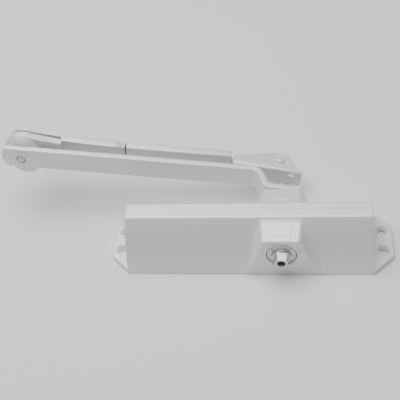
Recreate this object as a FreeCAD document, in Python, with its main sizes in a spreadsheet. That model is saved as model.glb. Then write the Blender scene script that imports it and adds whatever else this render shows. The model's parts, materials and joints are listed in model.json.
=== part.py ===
"""Overhead door closer with a folded scissor arm, as a parametric FreeCAD document.

Frame: millimetres, X along the closer body, Y along the pinion axis (the arm is on the +Y side), Z out of
the mounting face. The origin is the middle of the four fixing holes, on the mounting face.
"""
import FreeCAD, Part
import math
import os
import re

import Sketcher
from FreeCAD import Placement, Rotation, Vector

# Driving dimensions. Lengths in mm, angles in degrees.
SIZES = {
    # closer body
    "body_length": 192.6, "strip_length": 189.5, "body_width": 60, "body_depth": 42, "strip_width": 14,
    "side_bulge_y": 22.9, "side_bulge_z": 23.4, "side_radius": 100, "edge_radius": 1.6,
    "lug_length": 223.6, "lug_root_x": 88, "lug_root_half": 26, "lug_thickness": 4.3,
    "lug_end_width": 29, "lug_corner": 7,
    "hole_pitch_long": 208, "hole_pitch_wide": 19, "hole_radius": 2.9, "countersink_radius": 4.8,
    "countersink_depth": 1.9,
    # bearing boss
    "pinion_x": 26.65, "bore_z": 22, "boss_face_base": 30, "boss_face_top": 27.5, "boss_top": 36,
    "boss_crown": 39.3, "boss_base_half": 28, "boss_top_half": 14.2, "boss_root_half": 17.2,
    "boss_root_base_half": 30, "boss_edge": 2.5,
    # cylinder and end plugs
    "bore_radius": 15, "plug_radius": 14.95, "plug_length": 14, "plug_inset": 1.2, "plug_slot": 3,
    "cord_radius": 1.1, "cord_pinch": 0.95, "cord_room": 1.04,
    # bearings
    "pocket_radius": 11.4, "ring_radius": 10.9, "ring_bore": 7.4, "ring_thickness": 3, "ring_face": 28,
    "seal_radius": 11.3, "seal_bore": 7.3, "seal_thickness": 3.4, "bush_radius": 11.35, "bush_bore": 7.04,
    "bush_length": 6, "bush_start": 15.2, "bush_gap": 0.2, "pocket_floor": 5, "spanner_hole": 0.8,
    "spanner_depth": 1.4, "spanner_circle": 9.45,
    # pinion
    "journal_radius": 7, "journal_end": 29.6, "neck_radius": 6, "neck_end": 14.9,
    "gear_half_width": 11.8, "gear_module": 1.4, "gear_teeth": 11,
    "pressure_angle": 25, "gear_addendum": 1.4, "rack_addendum": 1.25, "tooth_clearance": 0.35,
    "backlash": 0.24, "square_base": 10.8, "square_tip": 9.6, "stub_near": 36.6, "stub_far": 34.8,
    "end_thread": 3, "end_thread_depth": 12, "thread_mouth": 0.5,
    # piston and springs
    "piston_radius": 14.94, "window_left": 16.6, "window_right": 59.4, "piston_left": 4.6,
    "piston_right": 73.4, "window_top": 31.8, "spring_left": -79.4,
    "outer_coil": 11.2, "outer_wire": 3.3, "outer_turns": 13, "inner_coil": 6.2, "inner_wire": 2.1,
    "inner_turns": 17, "seat_radius": 13.6, "seat_thickness": 1.6, "seat_spigot": 4.6, "seat_height": 7,
    "groove_radius": 13.2, "groove_width": 2.4, "groove_x": 66, "groove_play": 0.15, "check_bore": 2.6,
    "check_radius": 4.4, "check_length": 9, "check_outlet": 1.2, "ball_radius": 2,
    # adjusting valves
    "valve_y": 20.4, "valve_z": 9.2, "valve_radius": 3, "valve_length": 24, "valve_end": 95,
    "needle_radius": 1.2, "needle_length": 8, "port_radius": 1.1, "port_x": 76.8, "valve_slot": 1,
    "valve_slot_depth": 1.4, "valve_ring_x": 86, "valve_cord": 0.6,
    # main arm
    "arm_tilt": 8.3, "arm_centres": 220, "arm_width": 20, "arm_thickness": 5, "arm_plate": 33,
    "arm_run": 51.5, "crank_start": -14.2, "crank_end": -20.8, "crank_radius": 8.5, "arm_head": 14.3,
    "arm_head_round": 16.4, "arm_tail": 16.7, "square_hole": 10.7, "arm_screw_radius": 6, "arm_screw_head": 4,
    "arm_screw_length": 13, "arm_washer": 1.6, "arm_socket": 2.9, "arm_socket_depth": 2.6,
    # elbow
    "hub_radius": 16.6, "hub_face": 12.9, "hub_thickness": 3.9, "hub_lobe": 12.2, "hub_lobe_drop": 9.2,
    "rivet_radius": 3.5, "rivet_head": 4.4, "cup_radius": 9, "cup_thickness": 1.2,
    "ear_start": 58.4, "ear_end": 64.6, "far_ear_start": 67.7, "far_ear_end": 70.3,
    "spacer_radius": 12, "rivet_play": 0.06,
    # forearm
    "sleeve_near": 62.3, "sleeve_far": 70.3, "sleeve_middle_y": 66.3, "sleeve_wall": 1.2,
    "sleeve_start": 31.6, "sleeve_end": 86, "sleeve_half": 9.7, "sleeve_root_half": 12.1,
    "strap_start": 6, "strap_half": 15.4, "strap_tip_half": 11.1, "tube_start": 87.3, "tube_end": 176.3,
    "rod_radius": 2.6,
    "rod_start": 40, "clamp_x": 80.5, "clamp_radius": 2, "clamp_head": 3.6, "clamp_head_height": 0.8,
    "clamp_slot": 0.9, "shoe_length": 8, "shoe_width": 4.4, "shoe_thickness": 1.6, "guide_length": 12,
    "guide_play": 0.05,
    # foot
    "foot_pivot": 216.9, "foot_yaw": -6, "eye_radius": 7, "eye_half": 2.4, "foot_pin": 2.5,
    "foot_gap": 0.4, "foot_thickness": 3, "foot_height": 15.8, "foot_near": 11, "foot_left": 38.5,
    "foot_right": 19.4, "foot_lobe": 9.2, "foot_root": 2, "foot_bend": 2, "foot_hole": 3,
    "foot_hole_pitch": 41, "foot_hole_x": 11.1, "foot_hole_v": -0.4, "foot_head": 4.4,
    "foot_head_height": 1.5, "foot_washer": 1, "foot_tail": 1.2,
}

doc = FreeCAD.newDocument("door_closer")
sheet = doc.addObject("Spreadsheet::Sheet", "Dims")
for row, (alias, number) in enumerate(SIZES.items(), start=1):
    sheet.set(f"A{row}", alias)
    sheet.set(f"B{row}", str(number))
    sheet.setAlias(f"B{row}", alias)
doc.recompute()

SUB_PARTS = []


def size(text):
    """The number that an expression on the sheet's aliases has now."""
    value = sheet.evalExpression(text)
    return float(getattr(value, "Value", value))


def bound(text):
    """The same expression, written so that any object can read it from the sheet."""
    return re.sub(r"[a-z][a-z_]+", lambda m: "Dims." + m[0] if m[0] in SIZES else m[0], text)


def bind(feature, **properties):
    for name, text in properties.items():
        feature.setExpression(name.replace("__", "."), bound(text))
    return feature


def sub_part(feature, label, placement=None):
    """Registers a finished piece: its label names its file."""
    feature.Label = label
    if placement is not None:
        feature.Placement = placement
    SUB_PARTS.append(feature)
    return feature


# Turns that lay a primitive's own Z along an axis.
ALONG = {"x": Rotation(Vector(0, 1, 0), 90), "y": Rotation(Vector(1, 0, 0), -90), "z": Rotation()}


def place(feature, along, x, y, z):
    feature.Placement = Placement(Vector(0, 0, 0), ALONG[along])
    bind(feature, Placement__Base__x=x, Placement__Base__y=y, Placement__Base__z=z)
    return feature


def cylinder(name, radius, height, along="z", x="0", y="0", z="0"):
    feature = doc.addObject("Part::Cylinder", name)
    bind(feature, Radius=radius, Height=height)
    return place(feature, along, x, y, z)


def cone(name, radius_1, radius_2, height, along="z", x="0", y="0", z="0"):
    feature = doc.addObject("Part::Cone", name)
    bind(feature, Radius1=radius_1, Radius2=radius_2, Height=height)
    return place(feature, along, x, y, z)


def box(name, length, width, height, x="0", y="0", z="0"):
    feature = doc.addObject("Part::Box", name)
    bind(feature, Length=length, Width=width, Height=height)
    return place(feature, "z", x, y, z)


def torus(name, radius, wire, along="z", x="0", y="0", z="0"):
    feature = doc.addObject("Part::Torus", name)
    bind(feature, Radius1=radius, Radius2=wire)
    return place(feature, along, x, y, z)


def fuse(name, *pieces):
    feature = doc.addObject("Part::MultiFuse", name)
    feature.Shapes = list(pieces)
    return feature


def cut(name, base, *tools):
    feature = doc.addObject("Part::Cut", name)
    feature.Base = base
    feature.Tool = tools[0] if len(tools) == 1 else fuse(name + "_tools", *tools)
    return feature


def common(name, first, second):
    feature = doc.addObject("Part::Common", name)
    feature.Base = first
    feature.Tool = second
    return feature


def solid(name, shape):
    """A shape made with Part's own functions, where no primitive or sketch fits."""
    feature = doc.addObject("Part::Feature", name)
    feature.Shape = shape
    return feature


def origin_plane(body, role):
    return next(plane for plane in body.Origin.OriginFeatures if plane.Role == role)


def corner_arc(before, corner, after, radius):
    """The arc that rounds a corner: its start, its end and its middle."""
    back = (before - corner).normalize()
    ahead = (after - corner).normalize()
    half = back.getAngle(ahead) / 2
    middle = (back + ahead).normalize()
    reach = radius / math.tan(half)
    centre = corner + middle * (radius / math.sin(half))
    return corner + back * reach, corner + ahead * reach, centre - middle * radius


def outline(body, role, name, corners):
    """A closed sketch on one of a body's planes. Each corner is x, y and a rounding radius, as expressions
    on the sheet, and each is held by constraints bound to them."""
    sketch = body.newObject("Sketcher::SketchObject", name)
    sketch.AttachmentSupport = (origin_plane(body, role), [""])
    sketch.MapMode = "FlatFace"
    points = [Vector(size(x), size(y), 0) for x, y, *_ in corners]
    radii = [size(corner[2]) if len(corner) > 2 else 0 for corner in corners]
    count = len(points)
    starts, ends, arcs = list(points), list(points), {}
    for i in range(count):
        if radii[i]:
            after = points[(i + 1) % count]
            starts[i], ends[i], arcs[i] = corner_arc(points[i - 1], points[i], after, radii[i])
    lines = [sketch.addGeometry(Part.LineSegment(ends[i], starts[(i + 1) % count])) for i in range(count)]
    for i in range(count):
        before, after = lines[i - 1], lines[i]
        if i in arcs:
            arc = sketch.addGeometry(Part.Arc(starts[i], arcs[i], ends[i]))
            first = 1 if sketch.getPoint(arc, 1).distanceToPoint(starts[i]) < 1e-6 else 2
            sketch.addConstraint(Sketcher.Constraint("Tangent", before, 2, arc, first))
            sketch.addConstraint(Sketcher.Constraint("Tangent", arc, 3 - first, after, 1))
            radius = sketch.addConstraint(Sketcher.Constraint("Radius", arc, radii[i]))
            sketch.setExpression(f"Constraints[{radius}]", bound(corners[i][2]))
            held = sketch.addGeometry(Part.Point(points[i]), True)
            sketch.addConstraint(Sketcher.Constraint("PointOnObject", held, 1, before))
            sketch.addConstraint(Sketcher.Constraint("PointOnObject", held, 1, after))
            vertex = (held, 1)
        else:
            sketch.addConstraint(Sketcher.Constraint("Coincident", before, 2, after, 1))
            vertex = (after, 1)
        for kind, value, text in zip(("DistanceX", "DistanceY"), points[i], corners[i]):
            index = sketch.addConstraint(Sketcher.Constraint(kind, -1, 1, *vertex, value))
            sketch.setExpression(f"Constraints[{index}]", bound(text))
    return sketch


def pad(body, sketch, name, length, midplane=True, offset=None):
    """Pads a sketch. offset moves the sketch along its own normal first."""
    if offset is not None:
        bind(sketch, AttachmentOffset__Base__z=offset)
    feature = body.newObject("PartDesign::Pad", name)
    feature.Profile = sketch
    feature.Midplane = midplane
    bind(feature, Length=length)
    body.Tip = feature
    return feature


def padded(name, role, corners, length, midplane=True, offset=None):
    """A body that is one padded outline."""
    body = doc.addObject("PartDesign::Body", name)
    pad(body, outline(body, role, name + "_outline", corners), name + "_pad", length, midplane, offset)
    return body


def mirrored_y(shape):
    return shape.mirror(Vector(0, 0, 0), Vector(0, 1, 0))


def along_y(turned, start, length, name, radius, x="pinion_x", z="bore_z"):
    """A cylinder about a Y axis, on the near (-Y) or the far (+Y) side; start is its end nearest Y 0."""
    y = start if turned > 0 else f"-({start})-({length})"
    return cylinder(name, radius, length, "y", x, y, z)


SIDES = (("near", -1), ("far", 1))


# ---------------------------------------------------------------- closer body
def boss_half():
    """Half of the bearing boss: a ruled solid from a section in the middle to the drafted bearing face."""
    def section(y_base, y_top, half_base, half_top, top):
        middle = size("pinion_x")
        corners = ((-half_base, y_base, 0), (half_base, y_base, 0), (half_top, y_top, top),
                   (-half_top, y_top, top))
        points = [Vector(middle + x, y, z) for x, y, z in corners]
        return Part.makePolygon(points + points[:1])

    root = section(0, 0, size("boss_root_base_half"), size("boss_root_half"), size("boss_crown") + 1.4)
    face = section(size("boss_face_base"), size("boss_face_top"), size("boss_base_half"),
                   size("boss_top_half"), size("boss_top"))
    return Part.makeLoft([root, face], True, True)


def outer_casting():
    """The core, the lugs and the boss as one casting, before anything is bored."""
    core = padded("core", "YZ_Plane", [
        ("body_width/2", "0"),
        ("side_bulge_y", "side_bulge_z", "side_radius"),
        ("strip_width/2", "body_depth", "edge_radius"),
        ("-strip_width/2", "body_depth", "edge_radius"),
        ("-side_bulge_y", "side_bulge_z", "side_radius"),
        ("-body_width/2", "0"),
    ], "body_length")
    for name, sign in (("left", "-"), ("right", "")):
        taper = outline(core, "XZ_Plane", "taper_" + name, [
            (sign + "body_length/2", "0"),
            (sign + "(body_length/2+1)", "0"),
            (sign + "(body_length/2+1)", "body_depth+1"),
            (sign + "strip_length/2", "body_depth+1"),
        ])
        pocket = core.newObject("PartDesign::Pocket", "taper_cut_" + name)
        pocket.Profile = taper
        pocket.Midplane = True
        bind(pocket, Length="body_width*2")
        core.Tip = pocket
    lugs = []
    for name, sign in (("left", "-"), ("right", "")):
        lugs.append(padded("lug_" + name, "XY_Plane", [
            (sign + "lug_root_x", "lug_root_half"), (sign + "body_length/2", "body_width/2-0.4"),
            (sign + "lug_length/2", "lug_end_width/2", "lug_corner"),
            (sign + "lug_length/2", "-lug_end_width/2", "lug_corner"),
            (sign + "body_length/2", "-(body_width/2-0.4)"), (sign + "lug_root_x", "-lug_root_half"),
        ], "lug_thickness", midplane=False))
    half = boss_half()
    boss = solid("boss", half.fuse(mirrored_y(half)).removeSplitter())
    return rounded_boss(fuse("casting", core, *lugs, boss))


def rounded_boss(casting):
    """Rounds the long edges beside the boss's crown."""
    doc.recompute()
    fillet = doc.addObject("Part::Fillet", "boss_rounded")
    fillet.Base = casting
    near, far = size("boss_top_half-0.5"), size("boss_root_half")
    edges = []
    for i, edge in enumerate(casting.Shape.Edges, start=1):
        middle = edge.valueAt((edge.FirstParameter + edge.LastParameter) / 2)
        beside = near < abs(middle.x - size("pinion_x")) < far
        if beside and size("boss_top") < middle.z < size("boss_crown"):
            edges.append((i, size("boss_edge"), size("boss_edge")))
    fillet.Edges = edges
    return fillet


def fixing_holes():
    tools = []
    for i, x in enumerate(("-hole_pitch_long/2", "hole_pitch_long/2")):
        for j, y in enumerate(("-hole_pitch_wide/2", "hole_pitch_wide/2")):
            name = f"fixing_{i}{j}"
            tools.append(cylinder(name, "hole_radius", "lug_thickness*3", "z", x, y, "-lug_thickness"))
            tools.append(cone(name + "_sink", "hole_radius", "countersink_radius", "countersink_depth", "z",
                              x, y, "lug_thickness-countersink_depth"))
            tools.append(cylinder(name + "_spot", "countersink_radius", "body_depth", "z", x, y,
                                  "lug_thickness"))
    return tools


def valve_bores():
    """The two adjusting-valve bores in the right end, and the port from each into the cylinder."""
    tools = []
    for name, sign in SIDES:
        y = f"{sign}*valve_y"
        tools.append(cylinder(name + "_valve_bore", "valve_radius+0.05", "body_length", "x",
                              "valve_end-valve_length+needle_length", y, "valve_z"))
        tools.append(cylinder(name + "_needle_bore", "needle_radius+0.5", "valve_length+2", "x",
                              "valve_end-valve_length-2", y, "valve_z"))
        start = Vector(size("port_x"), sign * size("valve_y"), size("valve_z"))
        end = Vector(size("port_x"), 0, size("bore_z"))
        port = Part.makeCylinder(size("port_radius"), start.distanceToPoint(end), start, end - start)
        tools.append(solid(name + "_port", port))
    return tools


def housing():
    tools = [cylinder("cylinder_bore", "bore_radius", "body_length*2", "x", "-body_length", "0", "bore_z")]
    for name, sign in SIDES:
        tools.append(along_y(sign, "pocket_floor", "body_width", name + "_pocket", "pocket_radius"))
    tools += fixing_holes() + valve_bores()
    sub_part(cut("housing_cut", outer_casting(), *tools), "housing")


def end_plugs():
    """A threaded plug with a spanner slot at each end of the cylinder, and its O-ring."""
    for name, sign in (("left", -1), ("right", 1)):
        outer = "body_length/2-plug_inset" if sign > 0 else "-(body_length/2-plug_inset)"
        start = f"{outer}-plug_length" if sign > 0 else outer
        plug = cylinder(name + "_plug", "plug_radius", "plug_length", "x", start, "0", "bore_z")
        slot_x = f"{outer}-plug_slot" if sign > 0 else outer
        slot = box(name + "_plug_slot", "plug_slot", "bore_radius*3", "plug_slot", slot_x, "-bore_radius*1.5",
                   "bore_z-plug_slot/2")
        ring_x = f"{outer}-plug_length*0.62" if sign > 0 else f"{outer}+plug_length*0.62"
        middle = "plug_radius-cord_radius*cord_pinch"
        groove = torus(name + "_plug_groove", middle, "cord_radius*cord_room", "x", ring_x, "0", "bore_z")
        sub_part(cut(name + "_plug_cut", plug, slot, groove), f"end_plug_{name}")
        seal = torus(name + "_plug_ring", middle, "cord_radius*cord_pinch", "x", ring_x, "0", "bore_z")
        sub_part(seal, f"plug_seal_{name}")


def ring_about_y(name, sign, start, length, outer, inner):
    body = along_y(sign, start, length, name + "_outer", outer)
    hole = along_y(sign, f"{start}-1", f"{length}+2", name + "_inner", inner)
    return cut(name + "_cut", body, hole)


def bearings():
    """On each side of the pinion: a bush, a lip seal outside it, and the screwed ring that holds both."""
    for name, sign in SIDES:
        bush = ring_about_y(name + "_bush", sign, "bush_start", "bush_length", "bush_radius", "bush_bore")
        sub_part(bush, f"bearing_bush_{name}")
        seal = ring_about_y(name + "_seal", sign, "bush_start+bush_length+bush_gap", "seal_thickness",
                            "seal_radius", "seal_bore")
        sub_part(seal, f"shaft_seal_{name}")
        start = "ring_face-ring_thickness"
        ring = ring_about_y(name + "_ring", sign, start, "ring_thickness", "ring_radius", "ring_bore")
        spanner = [
            along_y(sign, "ring_face-spanner_depth", "spanner_depth+1", f"{name}_ring_hole_{i}",
                    "spanner_hole", f"pinion_x+{x}*spanner_circle*sqrt(0.5)",
                    f"bore_z+{z}*spanner_circle*sqrt(0.5)")
            for i, (x, z) in enumerate(((1, 1), (-1, 1), (-1, -1), (1, -1)))
        ]
        sub_part(cut(name + "_ring_drilled", ring, *spanner), f"bearing_ring_{name}")


# ---------------------------------------------------------------- pinion
def involute_point(base, angle):
    """A point of the involute of a circle, after the string has unrolled by angle."""
    return Vector(base * (math.cos(angle) + angle * math.sin(angle)),
                  base * (math.sin(angle) - angle * math.cos(angle)), 0)


def turned(point, angle):
    return Rotation(Vector(0, 0, 1), math.degrees(angle)).multVec(point)


def gear_face():
    """The pinion's toothed outline in its own XY plane, with one tooth on the -Y axis."""
    teeth = int(size("gear_teeth"))
    pitch = size("gear_module*gear_teeth/2")
    slope = math.radians(size("pressure_angle"))
    base = pitch * math.cos(slope)
    tip = pitch + size("gear_addendum")
    root = pitch - size("rack_addendum") - size("tooth_clearance")
    spread = math.tan(slope) - slope
    half_tooth = math.pi / (2 * teeth) - size("backlash") / (4 * pitch) + spread
    reach = math.sqrt((tip / base) ** 2 - 1)
    steps = [reach * i / 6 for i in range(7)]
    edges = []
    for tooth in range(teeth):
        middle = -math.pi / 2 + 2 * math.pi * tooth / teeth
        rising = [turned(involute_point(base, a), middle - half_tooth) for a in steps]
        falling = [turned(Vector(p.x, -p.y, 0), middle + half_tooth)
                   for p in (involute_point(base, a) for a in reversed(steps))]
        foot_in = turned(Vector(root, 0, 0), middle - half_tooth)
        foot_out = turned(Vector(root, 0, 0), middle + half_tooth)
        next_foot = turned(Vector(root, 0, 0), middle - half_tooth + 2 * math.pi / teeth)
        valley = turned(Vector(root, 0, 0), middle + math.pi / teeth)
        edges.append(Part.LineSegment(foot_in, rising[0]).toShape())
        edges.append(spline(rising))
        edges.append(Part.Arc(rising[-1], turned(Vector(tip, 0, 0), middle), falling[0]).toShape())
        edges.append(spline(falling))
        edges.append(Part.LineSegment(falling[-1], foot_out).toShape())
        edges.append(Part.Arc(foot_out, valley, next_foot).toShape())
    return Part.Face(Part.Wire(Part.__sortEdges__(edges)))


def spline(points):
    curve = Part.BSplineCurve()
    curve.interpolate(points)
    return curve.toShape()


def square_stub(side, tip_y):
    """A square that tapers outward, in line with the arm, its corners turned down by a cone."""
    base_y = size("journal_end-0.5")

    def square(half, y):
        points = [Vector(a * half, side * y, b * half) for a, b in ((1, 1), (-1, 1), (-1, -1), (1, -1))]
        return Part.makePolygon(points + points[:1])

    taper = Part.makeLoft([square(size("square_base/2"), base_y), square(size("square_tip/2"), tip_y)],
                          True, True)
    turned_down = Part.makeCone(size("journal_radius-0.3"), size("square_tip/2*1.2"), tip_y - base_y,
                                Vector(0, side * base_y, 0), Vector(0, side, 0))
    stub = taper.common(turned_down)
    stub.rotate(Vector(0, 0, 0), Vector(0, 1, 0), size("arm_tilt"))
    return stub


def pinion():
    """One steel shaft: the gear, a neck and a journal to each side and a tapered square on each end,
    drilled and tapped for the arm screw."""
    half = size("gear_half_width")
    mouth_depth = size("thread_mouth")
    shape = gear_face().extrude(Vector(0, 0, 2 * half))
    shape.Placement = Placement(Vector(0, half, 0), Rotation(Vector(1, 0, 0), 90))
    for side, tip in ((-1, size("stub_near")), (1, size("stub_far"))):
        outward, end = Vector(0, side, 0), Vector(0, side * tip, 0)
        neck = Part.makeCylinder(size("neck_radius"), size("neck_end"), Vector(), outward)
        journal = Part.makeCylinder(size("journal_radius"), size("journal_end-neck_end"),
                                    outward * size("neck_end"), outward)
        shape = shape.fuse([neck, journal, square_stub(side, tip)])
        hole = Part.makeCylinder(size("end_thread"), size("end_thread_depth"), end, -outward)
        mouth = Part.makeCone(size("end_thread") + mouth_depth, size("end_thread"), mouth_depth, end,
                              -outward)
        shape = shape.cut([hole, mouth])
    place_on = Placement(Vector(size("pinion_x"), 0, size("bore_z")), Rotation())
    sub_part(solid("pinion_solid", shape), "pinion", place_on)


# ---------------------------------------------------------------- piston, springs and check valve
def rack_cut():
    """Everything above the rack inside the piston's window: the space that the pinion and the gaps between
    the teeth take up."""
    pitch_step = math.pi * size("gear_module")
    pitch_z = size("bore_z-gear_module*gear_teeth/2")
    slope = math.tan(math.radians(size("pressure_angle")))
    tip_z = pitch_z + size("rack_addendum")
    root_z = pitch_z - size("gear_addendum") - size("tooth_clearance")
    left, right = size("window_left"), size("window_right")
    half_gap = pitch_step / 4 + size("backlash") / 4
    points = [Vector(left, 0, tip_z)]
    first = math.ceil((left - size("pinion_x")) / pitch_step + 0.5)
    last = math.floor((right - size("pinion_x")) / pitch_step - 0.5)
    for k in range(first, last + 1):
        middle = size("pinion_x") + k * pitch_step
        wide = half_gap + (tip_z - pitch_z) * slope
        narrow = half_gap - (pitch_z - root_z) * slope
        points += [Vector(middle - wide, 0, tip_z), Vector(middle - narrow, 0, root_z),
                   Vector(middle + narrow, 0, root_z), Vector(middle + wide, 0, tip_z)]
    points += [Vector(right, 0, tip_z), Vector(right, 0, size("window_top")),
               Vector(left, 0, size("window_top"))]
    depth = 2 * size("bore_radius")
    face = Part.Face(Part.makePolygon(points + points[:1]))
    face.translate(Vector(0, -depth / 2, 0))
    return face.extrude(Vector(0, depth, 0))


def piston():
    body = cylinder("piston_blank", "piston_radius", "piston_right-piston_left", "x", "piston_left", "0",
                    "bore_z")
    window = solid("piston_window", rack_cut())
    ring = cut("ring_groove", cylinder("groove_outer", "bore_radius+1", "groove_width", "x", "groove_x", "0",
                                       "bore_z"),
               cylinder("groove_inner", "groove_radius", "groove_width+2", "x", "groove_x-1", "0", "bore_z"))
    seat = cylinder("seat_bore", "check_radius+0.05", "check_length+1", "x", "piston_right-check_length",
                    "0", "bore_z")
    passage = cylinder("check_passage", "check_bore", "piston_right-window_right", "x", "window_right-1",
                       "0", "bore_z")
    dish = cylinder("spring_dish", "seat_radius", "2", "x", "piston_left-1", "0", "bore_z")
    sub_part(cut("piston_cut", body, window, ring, seat, passage, dish), "piston")
    seal = cut("piston_ring_cut",
               cylinder("piston_ring_outer", "bore_radius-0.04", "groove_width-2*groove_play", "x",
                        "groove_x+groove_play", "0", "bore_z"),
               cylinder("piston_ring_inner", "groove_radius+0.1", "groove_width+2", "x", "groove_x-1", "0",
                        "bore_z"))
    sub_part(seal, "piston_ring")


def check_valve():
    """A screwed seat in the piston's pressure head with a loose ball: it lets the door open freely."""
    start = "piston_right-check_length"
    seat = cut("check_seat_cut",
               cylinder("check_seat_outer", "check_radius", "check_length", "x", start, "0", "bore_z"),
               cylinder("check_chamber", "check_bore", "check_length-2", "x", f"{start}-1", "0", "bore_z"),
               cylinder("check_mouth", "check_outlet", "check_length+2", "x", f"{start}-1", "0", "bore_z"))
    sub_part(seat, "check_valve_seat")
    ball = doc.addObject("Part::Sphere", "ball")
    bind(ball, Radius="ball_radius")
    place(ball, "z", f"{start}+ball_radius+1", "0", "bore_z")
    sub_part(ball, "check_valve_ball")


def coil_spring(label, coil, wire, turns, left_handed):
    """A compression spring between the left seat and the piston, its wire a sphere's width clear of both."""
    radius = size(wire) / 2
    start = size("spring_left") + radius + 0.05
    end = size("piston_left") + 1 - radius - 0.05
    pitch = (end - start) / size(turns)
    helix = Part.makeHelix(pitch, end - start, size(coil), 0, left_handed)
    profile = Part.Wire(Part.makeCircle(radius, Vector(size(coil), 0, 0), Vector(0, 1, 0)))
    shape = Part.Wire(helix.Edges).makePipeShell([profile], True, True)
    spring = solid(label + "_wire", shape)
    sub_part(spring, label, Placement(Vector(start, 0, size("bore_z")), ALONG["x"]))


def springs():
    coil_spring("spring_outer", "outer_coil", "outer_wire", "outer_turns", False)
    coil_spring("spring_inner", "inner_coil", "inner_wire", "inner_turns", True)
    plate = cylinder("seat_plate", "seat_radius", "seat_thickness", "x", "spring_left-seat_thickness", "0",
                     "bore_z")
    spigot = cylinder("seat_pin", "seat_spigot", "seat_height", "x", "spring_left-0.5", "0", "bore_z")
    sub_part(fuse("seat_fuse", plate, spigot), "spring_seat")


def valves():
    """Two needle valves with screwdriver slots in the right end: closing speed near, latching speed far."""
    for (side, sign), label in zip(SIDES, ("closing", "latching")):
        y = f"{sign}*valve_y"
        barrel = cylinder(label + "_barrel", "valve_radius", "valve_length-needle_length-0.2", "x",
                          "valve_end-valve_length+needle_length+0.2", y, "valve_z")
        needle = cone(label + "_needle", "0.3", "needle_radius", "needle_length+0.7", "x",
                      "valve_end-valve_length", y, "valve_z")
        slot = box(label + "_slot", "3", "valve_radius*3", "valve_slot", "valve_end-valve_slot_depth",
                   f"{y}-valve_radius*1.5", "valve_z-valve_slot/2")
        middle = "valve_radius-valve_cord*1.03"
        groove = torus(label + "_groove", middle, "valve_cord*1.08", "x", "valve_ring_x", y, "valve_z")
        sub_part(cut(label + "_cut", fuse(label + "_body", barrel, needle), slot, groove), f"{label}_valve")
        seal = torus(label + "_seal", middle, "valve_cord", "x", "valve_ring_x", y, "valve_z")
        sub_part(seal, f"{label}_valve_seal")


# ---------------------------------------------------------------- main arm
def arm_frame(distance=0.0):
    """The arm's own frame at a distance along it from the pinion: its X runs along the tilted arm."""
    tilt = Rotation(Vector(0, 1, 0), size("arm_tilt"))
    pivot = Vector(size("pinion_x"), 0, size("bore_z"))
    return Placement(pivot + tilt.multVec(Vector(distance, 0, 0)), tilt)


def main_arm():
    """A flat bar, cranked out past the boss, with a square hole for the pinion near its blunt end."""
    half = "arm_thickness/2"
    lean = math.atan2(size("arm_run-arm_plate"), size("crank_start-crank_end"))
    shift = size(half) * math.tan(lean / 2)
    strip = padded("arm_strip", "XY_Plane", [
        ("arm_head", f"arm_plate-{half}"),
        ("arm_head", f"arm_plate+{half}"),
        (f"crank_start+{shift:.4f}", f"arm_plate+{half}", f"crank_radius-{half}"),
        (f"crank_end+{shift:.4f}", f"arm_run+{half}", f"crank_radius+{half}"),
        ("-arm_centres-arm_tail", f"arm_run+{half}"),
        ("-arm_centres-arm_tail", f"arm_run-{half}"),
        (f"crank_end-{shift:.4f}", f"arm_run-{half}", f"crank_radius-{half}"),
        (f"crank_start-{shift:.4f}", f"arm_plate-{half}", f"crank_radius+{half}"),
    ], "arm_width")
    bar = box("arm_bar", "arm_centres", "arm_run*2", "arm_width", "-arm_centres", "0", "-arm_width/2")
    head = common("arm_head_end", cylinder("arm_head_disc", "arm_head_round", "arm_run*2", "y"),
                  box("arm_head_box", "arm_head", "arm_run*2", "arm_width", "0", "0", "-arm_width/2"))
    tail = common("arm_tail_end", cylinder("arm_tail_disc", "arm_tail", "arm_run*2", "y", "-arm_centres"),
                  box("arm_tail_box", "arm_tail*2", "arm_run*2", "arm_width", "-arm_centres-arm_tail", "0",
                      "-arm_width/2"))
    plate = common("arm_plate_shape", strip, fuse("arm_outline", bar, head, tail))
    square = box("arm_square", "square_hole", "20", "square_hole", "-square_hole/2", "arm_plate-10",
                 "-square_hole/2")
    rivet = cylinder("arm_rivet_hole", "rivet_radius+0.03", "20", "y", "-arm_centres", "arm_run-10")
    sub_part(cut("main_arm_cut", plate, square, rivet), "main_arm", arm_frame())


def arm_screw():
    """The screw and washer that hold the arm on the pinion's far end."""
    face = "arm_plate+arm_thickness/2"
    washer = cut("arm_washer_cut",
                 cylinder("arm_washer_disc", "arm_screw_radius+2", "arm_washer", "y", "0", face),
                 cylinder("arm_washer_hole", "end_thread+0.2", "arm_washer*3", "y", "0",
                          f"{face}-arm_washer"))
    sub_part(washer, "arm_washer", arm_frame())
    under_head = f"{face}+arm_washer"
    head = cylinder("arm_screw_disc", "arm_screw_radius", "arm_screw_head", "y", "0", under_head)
    shank = cylinder("arm_screw_shank", "end_thread-0.05", "arm_screw_length", "y", "0",
                     f"{under_head}+0.4-arm_screw_length")
    socket = doc.addObject("Part::Prism", "arm_screw_socket")
    socket.Polygon = 6
    bind(socket, Circumradius="arm_socket", Height="arm_screw_head")
    place(socket, "y", "0", f"{under_head}+arm_screw_head-arm_socket_depth", "0")
    sub_part(cut("arm_screw_cut", fuse("arm_screw_body", head, shank), socket), "arm_screw", arm_frame())


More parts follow.
